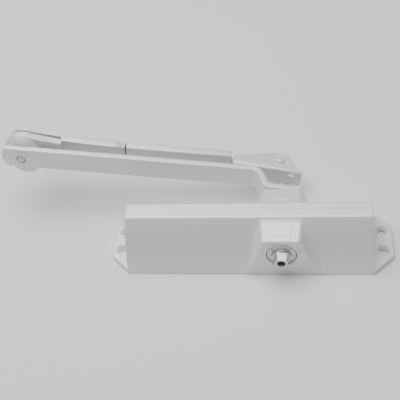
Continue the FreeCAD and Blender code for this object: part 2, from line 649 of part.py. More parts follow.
# ---------------------------------------------------------------- elbow
def elbow():
    """The elbow's rivet, the pressed cup under its near head, the lobed hub behind the main arm and the
    spacer between the forearm's two ears. All are about the elbow axis."""
    at_elbow = arm_frame(-size("arm_centres"))
    run_near, run_far = "arm_run-arm_thickness/2", "arm_run+arm_thickness/2"
    hole = "rivet_radius+rivet_play"

    hub = fuse("hub_plate",
               cone("hub_disc", "hub_face", "hub_radius", "hub_thickness", "y", "0", run_far),
               cylinder("hub_lobe_disc", "hub_lobe", "hub_thickness", "y", "0", run_far, "-hub_lobe_drop"))
    hub_hole = cylinder("hub_hole", hole, "20", "y", "0", "arm_run")
    sub_part(cut("hub_cut", hub, hub_hole), "elbow_hub", at_elbow)

    spacer = cylinder("spacer_disc", "spacer_radius", "far_ear_start-ear_end-0.6", "y", "0", "ear_end+0.3")
    sub_part(cut("spacer_cut", spacer, cylinder("spacer_hole", hole, "30", "y", "0", "arm_run")),
             "elbow_spacer", at_elbow)

    cup = cone("cup_disc", "cup_radius-1.5", "cup_radius", "cup_thickness", "y", "0",
               f"{run_near}-cup_thickness")
    sub_part(cut("cup_cut", cup, cylinder("cup_hole", hole, "10", "y", "0", f"{run_near}-5")),
             "elbow_cup", at_elbow)

    shank = cylinder("rivet_shank", "rivet_radius", "far_ear_end-arm_run+arm_thickness/2+cup_thickness+1.4",
                     "y", "0", f"{run_near}-cup_thickness-0.7")
    heads = [rivet_head("rivet_near_head", "rivet_head", f"{run_near}-cup_thickness", -1),
             rivet_head("rivet_far_head", "rivet_head+1.5", "far_ear_end+0.15", 1)]
    sub_part(fuse("rivet_fuse", shank, *heads), "elbow_rivet", at_elbow)


def rivet_head(name, radius, y, side):
    """A low domed head: the cap of a sphere cut by the face that it sits on."""
    dome = doc.addObject("Part::Sphere", name + "_ball")
    bind(dome, Radius=f"({radius})*1.5")
    place(dome, "z", "0", f"{y}-{side}*({radius})*1.118", "0")
    start = y if side > 0 else f"{y}-10"
    return common(name, dome, cylinder(name + "_cap", f"({radius})*1.2", "10", "y", "0", start))


# ---------------------------------------------------------------- forearm
def forearm_frame():
    """The forearm's own frame: origin on the elbow axis, X along the forearm towards the foot."""
    return arm_frame(-size("arm_centres"))


def hollow_bar(name, start, end, mouth_left, mouth_right):
    """A rectangular tube along X between start and end, open where its mouths reach past its ends."""
    wall = "sleeve_wall"
    outer = box(name + "_outer", f"{end}-({start})", "sleeve_far-sleeve_near", "sleeve_half*2", start,
                "sleeve_near", "-sleeve_half")
    inner = box(name + "_inner", f"{end}-({start})+{mouth_left}+{mouth_right}",
                f"sleeve_far-sleeve_near-2*{wall}", f"sleeve_half*2-2*{wall}", f"{start}-{mouth_left}",
                f"sleeve_near+{wall}", f"-sleeve_half+{wall}")
    return outer, inner


def forearm_fork():
    """The pressed sleeve of the forearm: a near ear and a far ear on the elbow, a tapering root and a
    rectangular sleeve with the clamp screw's hole in its top."""
    def strap(name, y, thick, half):
        return padded(name, "XZ_Plane", [
            ("strap_start", half), ("sleeve_start+1", "strap_tip_half"),
            ("sleeve_start+1", "-strap_tip_half"), ("strap_start", f"-({half})"),
        ], thick, midplane=False, offset=f"-({y})-({thick})")

    near = fuse("near_ear", cylinder("near_ear_disc", "hub_radius", "ear_end-ear_start", "y", "0",
                                     "ear_start"),
                strap("near_strap", "ear_start", "ear_end-ear_start", "strap_half"))
    far = fuse("far_ear", cylinder("far_ear_disc", "hub_radius-1", "far_ear_end-far_ear_start", "y", "0",
                                   "far_ear_start"),
               strap("far_strap", "far_ear_start", "far_ear_end-far_ear_start", "strap_half-1"))
    root = padded("fork_root", "XZ_Plane", [
        ("sleeve_start", "sleeve_root_half"), ("sleeve_start+20", "sleeve_half+0.8"),
        ("sleeve_start+40", "sleeve_half"), ("sleeve_end", "sleeve_half"), ("sleeve_end", "-sleeve_half"),
        ("sleeve_start+40", "-sleeve_half"), ("sleeve_start+20", "-(sleeve_half+0.8)"),
        ("sleeve_start", "-sleeve_root_half"),
    ], "sleeve_far-sleeve_near", midplane=False, offset="-sleeve_far")
    _, inner = hollow_bar("fork", "sleeve_start+6", "sleeve_end", "0", "5")
    _, slit = hollow_bar("fork_slit", "sleeve_start-1", "sleeve_start+7", "0", "0")
    holes = [cylinder("fork_rivet_hole", "rivet_radius+rivet_play", "40", "y", "0", "arm_run"),
             cylinder("fork_screw_hole", "clamp_radius+0.1", "30", "z", "clamp_x", "sleeve_middle_y", "0")]
    body = fuse("fork_body", near, far, root)
    sub_part(cut("fork_cut", body, inner, slit, *holes), "forearm_fork", forearm_frame())


def clamp():
    """The clamp screw in the top of the sleeve and the brake shoe that it presses on the rod."""
    y, top = "sleeve_middle_y", "sleeve_half"
    head = cylinder("clamp_head_disc", "clamp_head", "clamp_head_height", "z", "clamp_x", y, f"{top}+0.05")
    shank = cylinder("clamp_shank", "clamp_radius", f"{top}-rod_radius-1.5", "z", "clamp_x", y,
                     "rod_radius+1.8")
    low = f"{top}+clamp_head_height-clamp_slot"
    cross = [box("clamp_cross_along", "clamp_head*1.2", "clamp_slot", "2*clamp_slot",
                 "clamp_x-clamp_head*0.6", f"{y}-clamp_slot/2", low),
             box("clamp_cross_over", "clamp_slot", "clamp_head*1.2", "2*clamp_slot",
                 "clamp_x-clamp_slot/2", f"{y}-clamp_head*0.6", low)]
    sub_part(cut("clamp_cut", fuse("clamp_body", head, shank), *cross), "clamp_screw", forearm_frame())
    shoe = box("clamp_shoe_block", "shoe_length", "shoe_width", "shoe_thickness",
               "clamp_x-shoe_length/2", f"{y}-shoe_width/2", "rod_radius+0.15")
    dimple = cylinder("clamp_shoe_dimple", "clamp_radius-0.5", "2", "z", "clamp_x", y, "rod_radius+1.5")
    sub_part(cut("clamp_shoe_cut", shoe, dimple), "clamp_shoe", forearm_frame())


def forearm_tube():
    """The tube of the adjustable half, with a nylon guide for the rod set into each end."""
    outer, inner = hollow_bar("tube", "tube_start", "tube_end", "5", "5")
    sub_part(cut("tube_cut", outer, inner), "forearm_tube", forearm_frame())
    for name, start in (("inner", "tube_start+1"), ("outer", "tube_end-guide_length-1.5")):
        inset = "(sleeve_wall+guide_play)"
        block = box(f"guide_{name}_block", "guide_length", f"sleeve_far-sleeve_near-2*{inset}",
                    f"sleeve_half*2-2*{inset}", start, f"sleeve_near+{inset}", f"-sleeve_half+{inset}")
        hole = cylinder(f"guide_{name}_hole", "rod_radius+guide_play", "guide_length+2", "x",
                        f"{start}-1", "sleeve_middle_y")
        sub_part(cut(f"guide_{name}_cut", block, hole), f"rod_guide_{name}", forearm_frame())


def forearm_rod():
    """A round rod that slides and turns in the forearm, with a flattened eye for the foot."""
    middle = "sleeve_middle_y"
    rod = cylinder("rod_bar", "rod_radius", "foot_pivot-rod_start-eye_radius+1.5", "x", "rod_start", middle)
    eye = cylinder("rod_eye", "eye_radius", "eye_half*2", "z", "foot_pivot", middle, "-eye_half")
    neck = cone("rod_neck", "rod_radius", "eye_radius*0.72", "eye_radius", "x", "foot_pivot-eye_radius*1.7",
                middle)
    flat = box("rod_neck_flat", "eye_radius*2", "eye_radius*2", "eye_half*2", "foot_pivot-eye_radius*2",
               f"{middle}-eye_radius", "-eye_half")
    hole = cylinder("rod_eye_hole", "foot_pin+rivet_play", "20", "z", "foot_pivot", middle, "-10")
    body = fuse("rod_body", rod, eye, common("rod_neck_flattened", neck, flat))
    sub_part(cut("rod_cut", body, hole), "forearm_rod", forearm_frame())


# ---------------------------------------------------------------- foot
def foot_frame():
    """The foot's own frame: origin on its pivot at the rod's middle, turned about the pivot."""
    pivot = Vector(size("foot_pivot"), size("sleeve_middle_y"), 0)
    return forearm_frame().multiply(Placement(pivot, Rotation(Vector(0, 0, 1), size("foot_yaw"))))


def foot_bracket():
    """An angle bracket: a ledge with a round lobe at the pivot, and a long leg with two screw holes."""
    low = "eye_half+foot_gap"
    lobe, near = size("foot_lobe"), size("foot_near")
    right = Vector(size("foot_right"), -near, 0)
    left = Vector(-size("foot_left"), -near + size("foot_root") * 4.4, 0)
    reach_right = tangent_point(right, lobe, 1)
    reach_left = tangent_point(left, lobe, -1)
    edges = [
        Part.LineSegment(Vector(left.x, -near, 0), right),
        Part.LineSegment(right, reach_right),
        Part.Arc(reach_right, Vector(0, lobe, 0), reach_left),
        Part.LineSegment(reach_left, left),
        Part.LineSegment(left, Vector(left.x, -near, 0)),
    ]
    face = Part.Face(Part.Wire([edge.toShape() for edge in edges]))
    face.translate(Vector(0, 0, size(low)))
    ledge = solid("foot_ledge", face.extrude(Vector(0, 0, size("foot_thickness"))))
    leg = box("foot_leg", "foot_left+foot_right", "foot_thickness", "foot_height", "-foot_left",
              "-foot_near", f"{low}+foot_thickness-foot_height")
    body = fuse("foot_body", ledge, leg)
    rounded = bent_edge(body, "foot_rounded")
    tools = [cylinder("foot_pin_hole", "foot_pin+0.03", "20", "z", "0", "0", "-5")]
    for i, x in enumerate(("foot_hole_x", "foot_hole_x-foot_hole_pitch")):
        tools.append(cylinder(f"foot_hole_{i}", "foot_hole", "10", "y", x, "-foot_near-3", "foot_hole_v"))
    sub_part(cut("foot_cut", rounded, *tools), "foot_bracket", foot_frame())


def tangent_point(outside, radius, side):
    """Where a line from a point outside a circle about the origin touches it, on the +Y side."""
    reach = math.sqrt(outside.x ** 2 + outside.y ** 2)
    angle = math.atan2(outside.y, outside.x) + side * math.acos(radius / reach)
    return Vector(radius * math.cos(angle), radius * math.sin(angle), 0)


def bent_edge(body, name):
    """Rounds the bracket's long outer bend."""
    doc.recompute()
    top = size("eye_half+foot_gap+foot_thickness")
    near = -size("foot_near")
    fillet = doc.addObject("Part::Fillet", name)
    fillet.Base = body
    edges = []
    for i, edge in enumerate(body.Shape.Edges, start=1):
        reach = edge.BoundBox
        if abs(reach.ZMin - top) < 1e-4 and abs(reach.ZMax - top) < 1e-4 and abs(reach.YMax - near) < 1e-4:
            edges.append((i, size("foot_bend"), size("foot_bend")))
    fillet.Edges = edges
    return fillet


def foot_pin():
    """The rivet through the foot and the rod's eye, with a washer under its tail."""
    low = "eye_half+foot_gap"
    washer = cut("foot_washer_cut",
                 cylinder("foot_washer_disc", "foot_head+1", "foot_washer", "z", "0", "0",
                          "-eye_half-foot_gap-foot_washer"),
                 cylinder("foot_washer_hole", "foot_pin+0.05", "foot_washer*6", "z", "0", "0",
                          "-eye_half-foot_washer*4"))
    sub_part(washer, "foot_washer", foot_frame())
    shank = cylinder("foot_shank", "foot_pin", f"{low}+foot_thickness+eye_half+2", "z", "0", "0",
                     "-eye_half-1.8")
    head = cone("foot_head_disc", "foot_head", "foot_head*0.72", "foot_head_height", "z", "0", "0",
                f"{low}+foot_thickness")
    tail = cone("foot_tail_disc", "foot_head*0.6", "foot_head*0.9", "foot_tail", "z", "0", "0",
                "-eye_half-foot_gap-foot_washer-0.05-foot_tail")
    sub_part(fuse("foot_rivet_fuse", shank, head, tail), "foot_rivet", foot_frame())


def check_and_write():
    """Stops on any failed object or bad shape, then writes one STEP file for each sub-part."""
    doc.recompute()
    for item in doc.Objects:
        if "Invalid" in item.State or "Error" in item.State:
            raise RuntimeError(f"{item.Name} did not recompute: {item.State}")
    labels = [part.Label for part in SUB_PARTS]
    if len(set(labels)) != len(labels):
        raise RuntimeError("two sub-parts share a label")
    os.makedirs("parts", exist_ok=True)
    for part in SUB_PARTS:
        shape = part.Shape
        if shape.isNull() or not shape.isValid() or not shape.Solids:
            raise RuntimeError(f"{part.Label} has no valid solid")
        shape.exportStep(f"parts/{part.Label}.step")
        print(f"{part.Label}: {len(shape.Solids)} solid, {shape.Volume / 1000:.2f} cm3")


housing()
end_plugs()
bearings()
pinion()
piston()
check_valve()
springs()
valves()
main_arm()
arm_screw()
elbow()
forearm_fork()
clamp()
forearm_tube()
forearm_rod()
foot_bracket()
foot_pin()
check_and_write()
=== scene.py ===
"""Overhead door closer with a folded scissor arm: its visible pieces, its finishes and a studio for them.

Metres, in the closer's own frame: X runs along the body, Y along the pinion and Z out of the mounting face.
Places come from the packed pieces and joints, and the sizes that they don't give are the properties below.
"""
import json
import math

import bmesh
import bpy
import numpy as np
from bpy.props import FloatProperty, FloatVectorProperty, PointerProperty
from mathutils import Matrix, Vector


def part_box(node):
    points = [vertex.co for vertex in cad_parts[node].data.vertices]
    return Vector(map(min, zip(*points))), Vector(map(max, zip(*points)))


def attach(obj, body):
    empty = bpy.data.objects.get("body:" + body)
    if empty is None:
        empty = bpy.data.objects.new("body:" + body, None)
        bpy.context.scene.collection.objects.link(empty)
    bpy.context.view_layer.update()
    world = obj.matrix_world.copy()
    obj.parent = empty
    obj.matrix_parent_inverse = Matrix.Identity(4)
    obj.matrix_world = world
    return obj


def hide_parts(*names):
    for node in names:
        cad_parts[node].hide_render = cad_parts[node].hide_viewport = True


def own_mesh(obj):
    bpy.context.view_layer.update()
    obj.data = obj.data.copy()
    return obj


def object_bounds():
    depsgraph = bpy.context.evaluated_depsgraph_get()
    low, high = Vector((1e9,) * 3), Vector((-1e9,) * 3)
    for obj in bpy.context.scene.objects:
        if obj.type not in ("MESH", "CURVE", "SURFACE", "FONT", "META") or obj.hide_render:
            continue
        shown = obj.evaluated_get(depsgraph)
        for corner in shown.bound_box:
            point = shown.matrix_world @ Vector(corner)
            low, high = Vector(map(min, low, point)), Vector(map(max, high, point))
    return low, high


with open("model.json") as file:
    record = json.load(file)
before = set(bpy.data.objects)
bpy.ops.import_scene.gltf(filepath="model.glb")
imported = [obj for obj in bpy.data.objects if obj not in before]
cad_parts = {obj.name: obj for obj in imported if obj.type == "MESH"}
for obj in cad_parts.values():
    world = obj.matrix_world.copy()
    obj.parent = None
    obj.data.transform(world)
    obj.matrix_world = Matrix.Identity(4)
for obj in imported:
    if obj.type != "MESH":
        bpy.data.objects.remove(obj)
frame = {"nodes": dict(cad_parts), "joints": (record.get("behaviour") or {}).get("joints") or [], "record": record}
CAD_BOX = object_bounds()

bl_info = {
    "name": "Overhead door closer",
    "version": (1, 0, 0),
    "blender": (4, 5, 0),
    "location": "View3D > Sidebar > Door closer",
    "description": "Builds the visible pieces of a surface-mounted door closer and its arm",
    "category": "Add Mesh",
}


# ------------------------------------------------------------------ places taken from the packed model
def joint(name):
    return next(item for item in frame["joints"] if item["name"] == name)


def span(node):
    """Lowest and highest corner of a packed piece, as arrays."""
    low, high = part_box(node)
    return np.array(low), np.array(high)


BODY_OF = {node: body for body, nodes in frame["record"]["behaviour"]["bodies"].items() for node in nodes}
SLOT_OF = {item["node"]: item["material_slot"] for item in frame["record"]["subparts"]}
PINION = np.array(joint("pinion_spin")["pos_m"])
ELBOW = np.array(joint("elbow_pivot")["pos_m"])
REACH = ELBOW - PINION
ARM_CENTRES = math.hypot(REACH[0], REACH[2])
ARM_TILT = math.atan2(REACH[2], -REACH[0])
ALONG_ARM = np.array([math.cos(ARM_TILT), 0.0, -math.sin(ARM_TILT)])
ACROSS_ARM = np.array([math.sin(ARM_TILT), 0.0, math.cos(ARM_TILT)])
HOUSING_HIGH = span("housing")[1]
HOLES = next(mount for mount in frame["record"]["mounts"] if mount["name"] == "fixing_holes")
CYLINDER_AXIS_Z = PINION[2]


# ------------------------------------------------------------------ properties
def length(name, description, default):
    return FloatProperty(name=name, description=description, default=default, min=0.0, precision=5,
                         unit="LENGTH")


def colour(name, description, default):
    return FloatVectorProperty(name=name, description=description, default=default, size=3, min=0.0, max=1.0,
                               subtype="COLOR")


class CLOSER_PG_body(bpy.types.PropertyGroup):
    """Sizes of the cast body that its bounding box doesn't give."""
    core_half: length("Core half length", "Half the length of the body at the mounting face", 0.0963)
    end_lean: length("End lean", "How far each end face leans in by the top of the body", 0.00155)
    strip_half: length("Strip half width", "Half the width of the flat strip along the top", 0.007)
    bulge_out: length("Bulge out", "Distance from the middle plane to the flank's bend", 0.0229)
    bulge_up: length("Bulge up", "Height of the flank's bend", 0.0234)
    flank_fairing: length("Flank fairing", "Rounding between the two slopes of a flank", 0.0075)
    edge: length("Edges", "Rounding of the cast edges", 0.0009)
    end_edge: length("End edges", "Rounding around the end faces", 0.0009)
    bore: length("Cylinder bore", "Radius of the cylinder", 0.0150)
    pocket: length("Bearing pocket", "Radius of the bearing pockets", 0.0116)
    pocket_floor: length("Pocket floor", "Distance from the middle plane to a pocket's floor", 0.005)
    lug_thickness: length("Lug thickness", "Thickness of the fixing lugs", 0.0043)
    lug_end_half: length("Lug end half width", "Half the width of a lug at its free end", 0.0145)
    lug_corner: length("Lug corner", "Radius of the corners of a lug", 0.007)
    countersink: length("Countersink", "Radius of the countersinks", 0.0048)
    countersink_depth: length("Countersink depth", "Depth of the countersinks", 0.0019)


class CLOSER_PG_boss(bpy.types.PropertyGroup):
    """Sizes of the bearing boss on each side of the body."""
    face_base: length("Face at the base", "Distance to the bearing face at the mounting face", 0.030)
    face_top: length("Face at the top", "Distance to the bearing face at its upper edge", 0.0275)
    top: length("Top", "Height of the bearing face", 0.036)
    crown: length("Crown", "Height of the boss's roof over the middle plane", 0.0407)
    base_half: length("Base half width", "Half the width of the bearing face at the mounting face", 0.028)
    top_half: length("Top half width", "Half the width of the bearing face at its upper edge", 0.0142)
    root_base_half: length("Root base half width", "Half the width at the base, in the middle plane", 0.030)
    root_half: length("Root half width", "Half the width of the roof in the middle plane", 0.0172)
    side_edge: length("Side edges", "Rounding between the bearing face and the sides", 0.0020)
    top_edge: length("Top edges", "Rounding around the roof", 0.0022)
    fillet: length("Fillet", "Fillet between the boss and the flank", 0.0050)
    plate_half_x: length("Plate half length", "Half the length of the blank name plate on the roof", 0.0082)
    plate_half_y: length("Plate half width", "Half the width of the blank name plate", 0.0044)
    plate_proud: length("Plate proud", "How far the blank name plate stands proud", 0.00025)


class CLOSER_PG_arm(bpy.types.PropertyGroup):
    """Sizes of the two arms."""
    half_width: length("Arm half width", "Half the width of the main arm", 0.010)
    thickness: length("Arm thickness", "Thickness of the main arm", 0.005)
    head: length("Arm head", "Distance from the pinion to the blunt end beyond it", 0.0143)
    head_round: length("Head rounding", "Radius that the corners of the blunt end are rounded to", 0.0164)
    tail: length("Arm tail", "Radius of the end at the elbow", 0.01668)
    crank_start: length("Crank start", "Distance from the pinion to the first bend", 0.0142)
    crank_end: length("Crank end", "Distance from the pinion to the second bend", 0.0208)
    crank_radius: length("Crank radius", "Radius of the bends at the middle of the metal", 0.0085)
    edge: length("Arm edges", "Rounding of the arm's edges", 0.0007)
    square: length("Square hole", "Width of the square hole", 0.0107)
    rivet: length("Rivet", "Radius of the elbow rivet's shank", 0.0035)
    rivet_point: length("Rivet point", "Radius of the rivet's end inside the cup", 0.0031)
    rivet_head: length("Rivet head", "Radius of the rivet's domed far head", 0.0059)
    cup_bore: length("Cup bore", "Radius of the opening around the rivet's end", 0.0039)
    cup_rim: length("Cup rim", "Radius of the cup's flat rim", 0.0073)
    cup: length("Cup", "Radius of the cup where it meets the arm", 0.0089)
    cup_height: length("Cup height", "How far the cup stands off the arm", 0.0012)
    tube_corner: length("Tube corner", "Outer radius of the forearm tube's corners", 0.0019)
    tube_wall: length("Tube wall", "Wall of the forearm tube", 0.0012)


class CLOSER_PG_finish(bpy.types.PropertyGroup):
    """Colours of the finishes."""
    white: colour("Powder coat", "Fine-textured white powder coat", (0.760, 0.765, 0.760))
    thin_white: colour("Thin white paint", "Paint worn thin over steel", (0.720, 0.725, 0.725))
    steel: colour("Machined steel", "Bright turned steel", (0.74, 0.74, 0.75))
    zinc: colour("Zinc plate", "Bright zinc plate", (0.66, 0.67, 0.70))
    wire: colour("Spring wire", "Oil-tempered wire", (0.20, 0.19, 0.19))
    bronze: colour("Bearing bronze", "Turned bronze", (0.62, 0.40, 0.18))
    rubber: colour("Rubber", "Moulded nitrile rubber", (0.018, 0.018, 0.019))
    nylon: colour("Nylon", "Moulded black nylon", (0.030, 0.030, 0.032))
    ball: colour("Ball", "Ground and polished ball", (0.80, 0.80, 0.81))


class CLOSER_PG_studio(bpy.types.PropertyGroup):
    """Camera, lights and floor."""
    look_at: FloatVectorProperty(name="Look at", description="Point in the middle of the view",
                                 default=(-0.0454, 0.0481, 0.0), subtype="TRANSLATION", unit="LENGTH")
    azimuth: FloatProperty(name="Azimuth", description="Turn of the camera about Z, from straight in front",
                           default=math.radians(13.31), subtype="ANGLE")
    elevation: FloatProperty(name="Elevation", description="Height of the camera above the horizon",
                             default=math.radians(47.35), subtype="ANGLE")
    roll: FloatProperty(name="Roll", description="Turn of the camera about its own axis",
                        default=math.radians(10.49), subtype="ANGLE")
    distance: length("Distance", "Distance from the camera to the point that it looks at", 0.577)
    lens: FloatProperty(name="Lens", description="Focal length in millimetres", default=59.9, min=1.0,
                        subtype="DISTANCE_CAMERA")
    key_power: FloatProperty(name="Key light", description="Power of the soft box overhead", default=24.5,
                             min=0.0, unit="POWER")
    fill_power: FloatProperty(name="Fill light", description="Power of the soft box in front", default=0.1,
                              min=0.0, unit="POWER")
    floor: colour("Floor", "Pale matt floor", (0.80, 0.80, 0.80))
    surroundings: FloatProperty(name="Surroundings", description="Strength of the even light all round",
                                default=0.17, min=0.0)


# ------------------------------------------------------------------ shapes as arrays
SAME_POINT = 1e-7          # metres between points of one surface that are merged
SAME_CORNER = 2e-6         # metres between corners of a packed piece that are merged
FLAT = 0.4                 # degrees between faces that count as one
SHARP = 30.0               # degrees from which an edge is shown as sharp
ROUNDED_FROM = 35          # degrees from which a packed piece's edge is rounded
SHARP_WHEN_ROUNDED = 40.0  # degrees from which such a piece's edge is shown as sharp
FINE_STEPS = 4000          # steps of a line before it is spaced again
BORE_POINTS = 96           # points around a bore


def rounded(corners, radii, steps):
    """A closed outline with rounded corners, as an array of points. Each corner's arc runs between the points
    where a circle of its radius touches both sides: centre + radius * (cos, sin) over the turn."""
    corners = np.asarray(corners, float)
    radii = np.broadcast_to(np.asarray(radii, float), len(corners))
    back = np.roll(corners, 1, 0) - corners
    ahead = np.roll(corners, -1, 0) - corners
    back /= np.linalg.norm(back, axis=1)[:, None]
    ahead /= np.linalg.norm(ahead, axis=1)[:, None]
    half = np.arccos(np.clip((back * ahead).sum(1), -1, 1)) / 2
    middle = back + ahead
    middle /= np.linalg.norm(middle, axis=1)[:, None]
    centres = corners + middle * (radii / np.sin(half))[:, None]
    first = corners + back * (radii / np.tan(half))[:, None] - centres
    last = corners + ahead * (radii / np.tan(half))[:, None] - centres
    start = np.arctan2(first[:, 1], first[:, 0])
    turn = (np.arctan2(last[:, 1], last[:, 0]) - start + math.pi) % math.tau - math.pi
    angles = start[:, None] + turn[:, None] * np.linspace(0, 1, steps + 1)
    arcs = centres[:, None] + radii[:, None, None] * np.stack([np.cos(angles), np.sin(angles)], -1)
    return arcs.reshape(-1, 2)


def spread(points, count):
    """An open line of points, spaced again at even distances along itself."""
    distance = np.concatenate([[0], np.cumsum(np.linalg.norm(np.diff(points, axis=0), axis=1))])
    even = np.linspace(0, distance[-1], count)
    return np.stack([np.interp(even, distance, column) for column in points.T], -1)


def crowded(start, stop, count, places, width, gain):
    """Values from start to stop that lie closer together near the given places: the inverse of the running
    sum of a density of 1 plus a bell of the given width and gain at each place."""
    fine = np.linspace(start, stop, FINE_STEPS)
    density = 1 + gain * np.exp(-((fine[:, None] - np.asarray(places)) / width) ** 2).max(1)
    total = np.concatenate([[0], np.cumsum((density[1:] + density[:-1]) / 2)])
    return np.interp(np.linspace(0, total[-1], count), total, fine)


def box_rings(half_a, half_b, radius, steps=5):
    """Rounded rectangles, one for each entry of the half widths: each corner is a quarter circle whose centre
    stands the radius in from both sides. Returns an array (sections, points, 2)."""
    half_a, half_b = np.broadcast_arrays(np.atleast_1d(half_a), np.atleast_1d(half_b))
    radius = np.minimum(np.minimum(half_a, half_b) * 0.98, radius)[:, None]
    quarter = np.linspace(0, math.pi / 2, steps + 1)
    angle = (np.arange(4)[:, None] * math.pi / 2 + quarter).ravel()
    side = (np.arange(4) + 0.5) * math.pi / 2
    sign_a = np.repeat(np.sign(np.cos(side)), steps + 1)
    sign_b = np.repeat(np.sign(np.sin(side)), steps + 1)
    a = sign_a * (half_a[:, None] - radius) + radius * np.cos(angle)
    b = sign_b * (half_b[:, None] - radius) + radius * np.sin(angle)
    return np.stack([a, b], -1)


def turned_rings(profile, centre, axis, count=72):
    """Rings of a turned piece: each point of the profile is a radius and a distance along the axis, and its
    ring is centre + distance * axis + radius * (cos, sin) across the axis."""
    profile = np.asarray(profile, float)
    axis = np.asarray(axis, float) / np.linalg.norm(axis)
    side = np.cross(axis, [0.0, 0.0, 1.0] if abs(axis[2]) < 0.9 else [1.0, 0.0, 0.0])
    side /= np.linalg.norm(side)
    angle = np.linspace(0, math.tau, count, endpoint=False)
    spoke = np.cos(angle)[:, None] * side + np.sin(angle)[:, None] * np.cross(axis, side)
    return np.asarray(centre) + profile[:, 1, None, None] * axis + profile[:, 0, None, None] * spoke


def fresh(name, data):
    """A new object of that name in the scene, in place of an older one."""
    old = bpy.data.objects.get(name)
    if old is not None:
        bpy.data.objects.remove(old)
    thing = bpy.data.objects.new(name, data)
    bpy.context.scene.collection.objects.link(thing)
    return thing


def skin(name, rings, ends="fan"):
    """A closed mesh over an array of rings (rings, points, 3). Neighbouring rings are joined by quads. The
    ends are closed by a fan to their middle, or with ends="loop" the last ring is joined to the first."""
    rings = np.asarray(rings, float)
    count, points, _ = rings.shape
    index = np.arange(count * points).reshape(count, points)
    rows = np.vstack([index, index[:1]]) if ends == "loop" else index
    low, high = rows[:-1], rows[1:]
    quads = np.stack([low, np.roll(low, -1, 1), np.roll(high, -1, 1), high], -1).reshape(-1, 4)
    vertices = rings.reshape(-1, 3)
    faces = quads.tolist()
    if ends == "fan":
        vertices = np.vstack([vertices, rings[0].mean(0), rings[-1].mean(0)])
        bottom = np.stack([np.roll(index[0], -1), index[0], np.full(points, count * points)], -1)
        top = np.stack([index[-1], np.roll(index[-1], -1), np.full(points, count * points + 1)], -1)
        faces += bottom.tolist() + top.tolist()
    mesh = bpy.data.meshes.new(name)
    mesh.from_pydata(vertices.tolist(), [], faces)
    tidy(mesh)
    return fresh(name, mesh)


def tidy(mesh):
    """Merges doubles, turns the faces outward and marks the sharp edges."""
    work = bmesh.new()
    work.from_mesh(mesh)
    bmesh.ops.remove_doubles(work, verts=work.verts, dist=SAME_POINT)
    bmesh.ops.recalc_face_normals(work, faces=work.faces)
    if work.calc_volume(signed=True) < 0:
        bmesh.ops.reverse_faces(work, faces=work.faces)
    work.to_mesh(mesh)
    work.free()
    mesh.shade_smooth()
    mesh.set_sharp_from_angle(angle=math.radians(SHARP))
    mesh.update()


def carved(piece, tools, operation="DIFFERENCE"):
    """Cuts the tools out of a piece, or joins them to it, and removes the tools."""
    for tool in tools:
        step = piece.modifiers.new(tool.name, "BOOLEAN")
        step.operation = operation
        step.solver = "EXACT"
        step.object = tool
    settle(piece)
    for tool in tools:
        bpy.data.objects.remove(tool)


def settle(piece, sharp=SHARP):
    """Applies a piece's modifiers and marks the edges that turn by more than sharp degrees."""
    bpy.context.view_layer.update()
    shown = piece.evaluated_get(bpy.context.evaluated_depsgraph_get())
    mesh = bpy.data.meshes.new_from_object(shown)
    piece.modifiers.clear()
    piece.data = mesh
    if not mesh.polygons:
        raise RuntimeError(f"{piece.name} has no faces left")
    mesh.shade_smooth()
    mesh.set_sharp_from_angle(angle=math.radians(sharp))


def peg(name, radius, start, stop, centre, axis):
    """A plain round tool for carving."""
    profile = [(radius, start), (radius, stop)]
    return skin(name, turned_rings(profile, centre, axis, BORE_POINTS))


def softened(node, width):
    """A copy of a packed piece with its doubles merged, its flat faces joined and its edges rounded."""
    mesh = frame["nodes"][node].data.copy()
    work = bmesh.new()
    work.from_mesh(mesh)
    bmesh.ops.remove_doubles(work, verts=work.verts, dist=SAME_CORNER)
    bmesh.ops.dissolve_limit(work, angle_limit=math.radians(FLAT), verts=work.verts, edges=work.edges)
    work.to_mesh(mesh)
    work.free()
    piece = fresh(f"soft_{node}", mesh)
    mesh.shade_smooth()
    step = piece.modifiers.new("rounded_edges", "BEVEL")
    step.width = width
    step.segments = 3
    step.limit_method = "ANGLE"
    step.angle_limit = math.radians(ROUNDED_FROM)
    step.miter_outer = "MITER_ARC"
    settle(piece, SHARP_WHEN_ROUNDED)
    return piece


def finished(piece, *nodes):
    """Gives a piece its finish and its body, and hides the packed pieces that it stands for."""
    slot = SLOT_OF[nodes[0]]
    piece.data.materials.clear()
    piece.data.materials.append(FINISHES[slot](bpy.context.scene.closer_finish))
    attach(piece, BODY_OF[nodes[0]])
    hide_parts(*nodes)
    return piece


# ------------------------------------------------------------------ finishes
class Value:
    """A shader socket that can stand in sums. Each sum adds its Math node."""

    def __init__(self, finish, socket):
        self.finish, self.socket = finish, socket

    def _math(self, operation, first, second):
        return self.finish.node("ShaderNodeMath", {"operation": operation}, {0: first, 1: second})

    def __add__(self, other):
        return self._math("ADD", self, other)

    def __radd__(self, other):
        return self._math("ADD", other, self)

    def __sub__(self, other):
        return self._math("SUBTRACT", self, other)

    def __rsub__(self, other):
        return self._math("SUBTRACT", other, self)

    def __mul__(self, other):
        return self._math("MULTIPLY", self, other)

    def clamped(self):
        return self._math("MINIMUM", self._math("MAXIMUM", self, 0.0), 1.0)


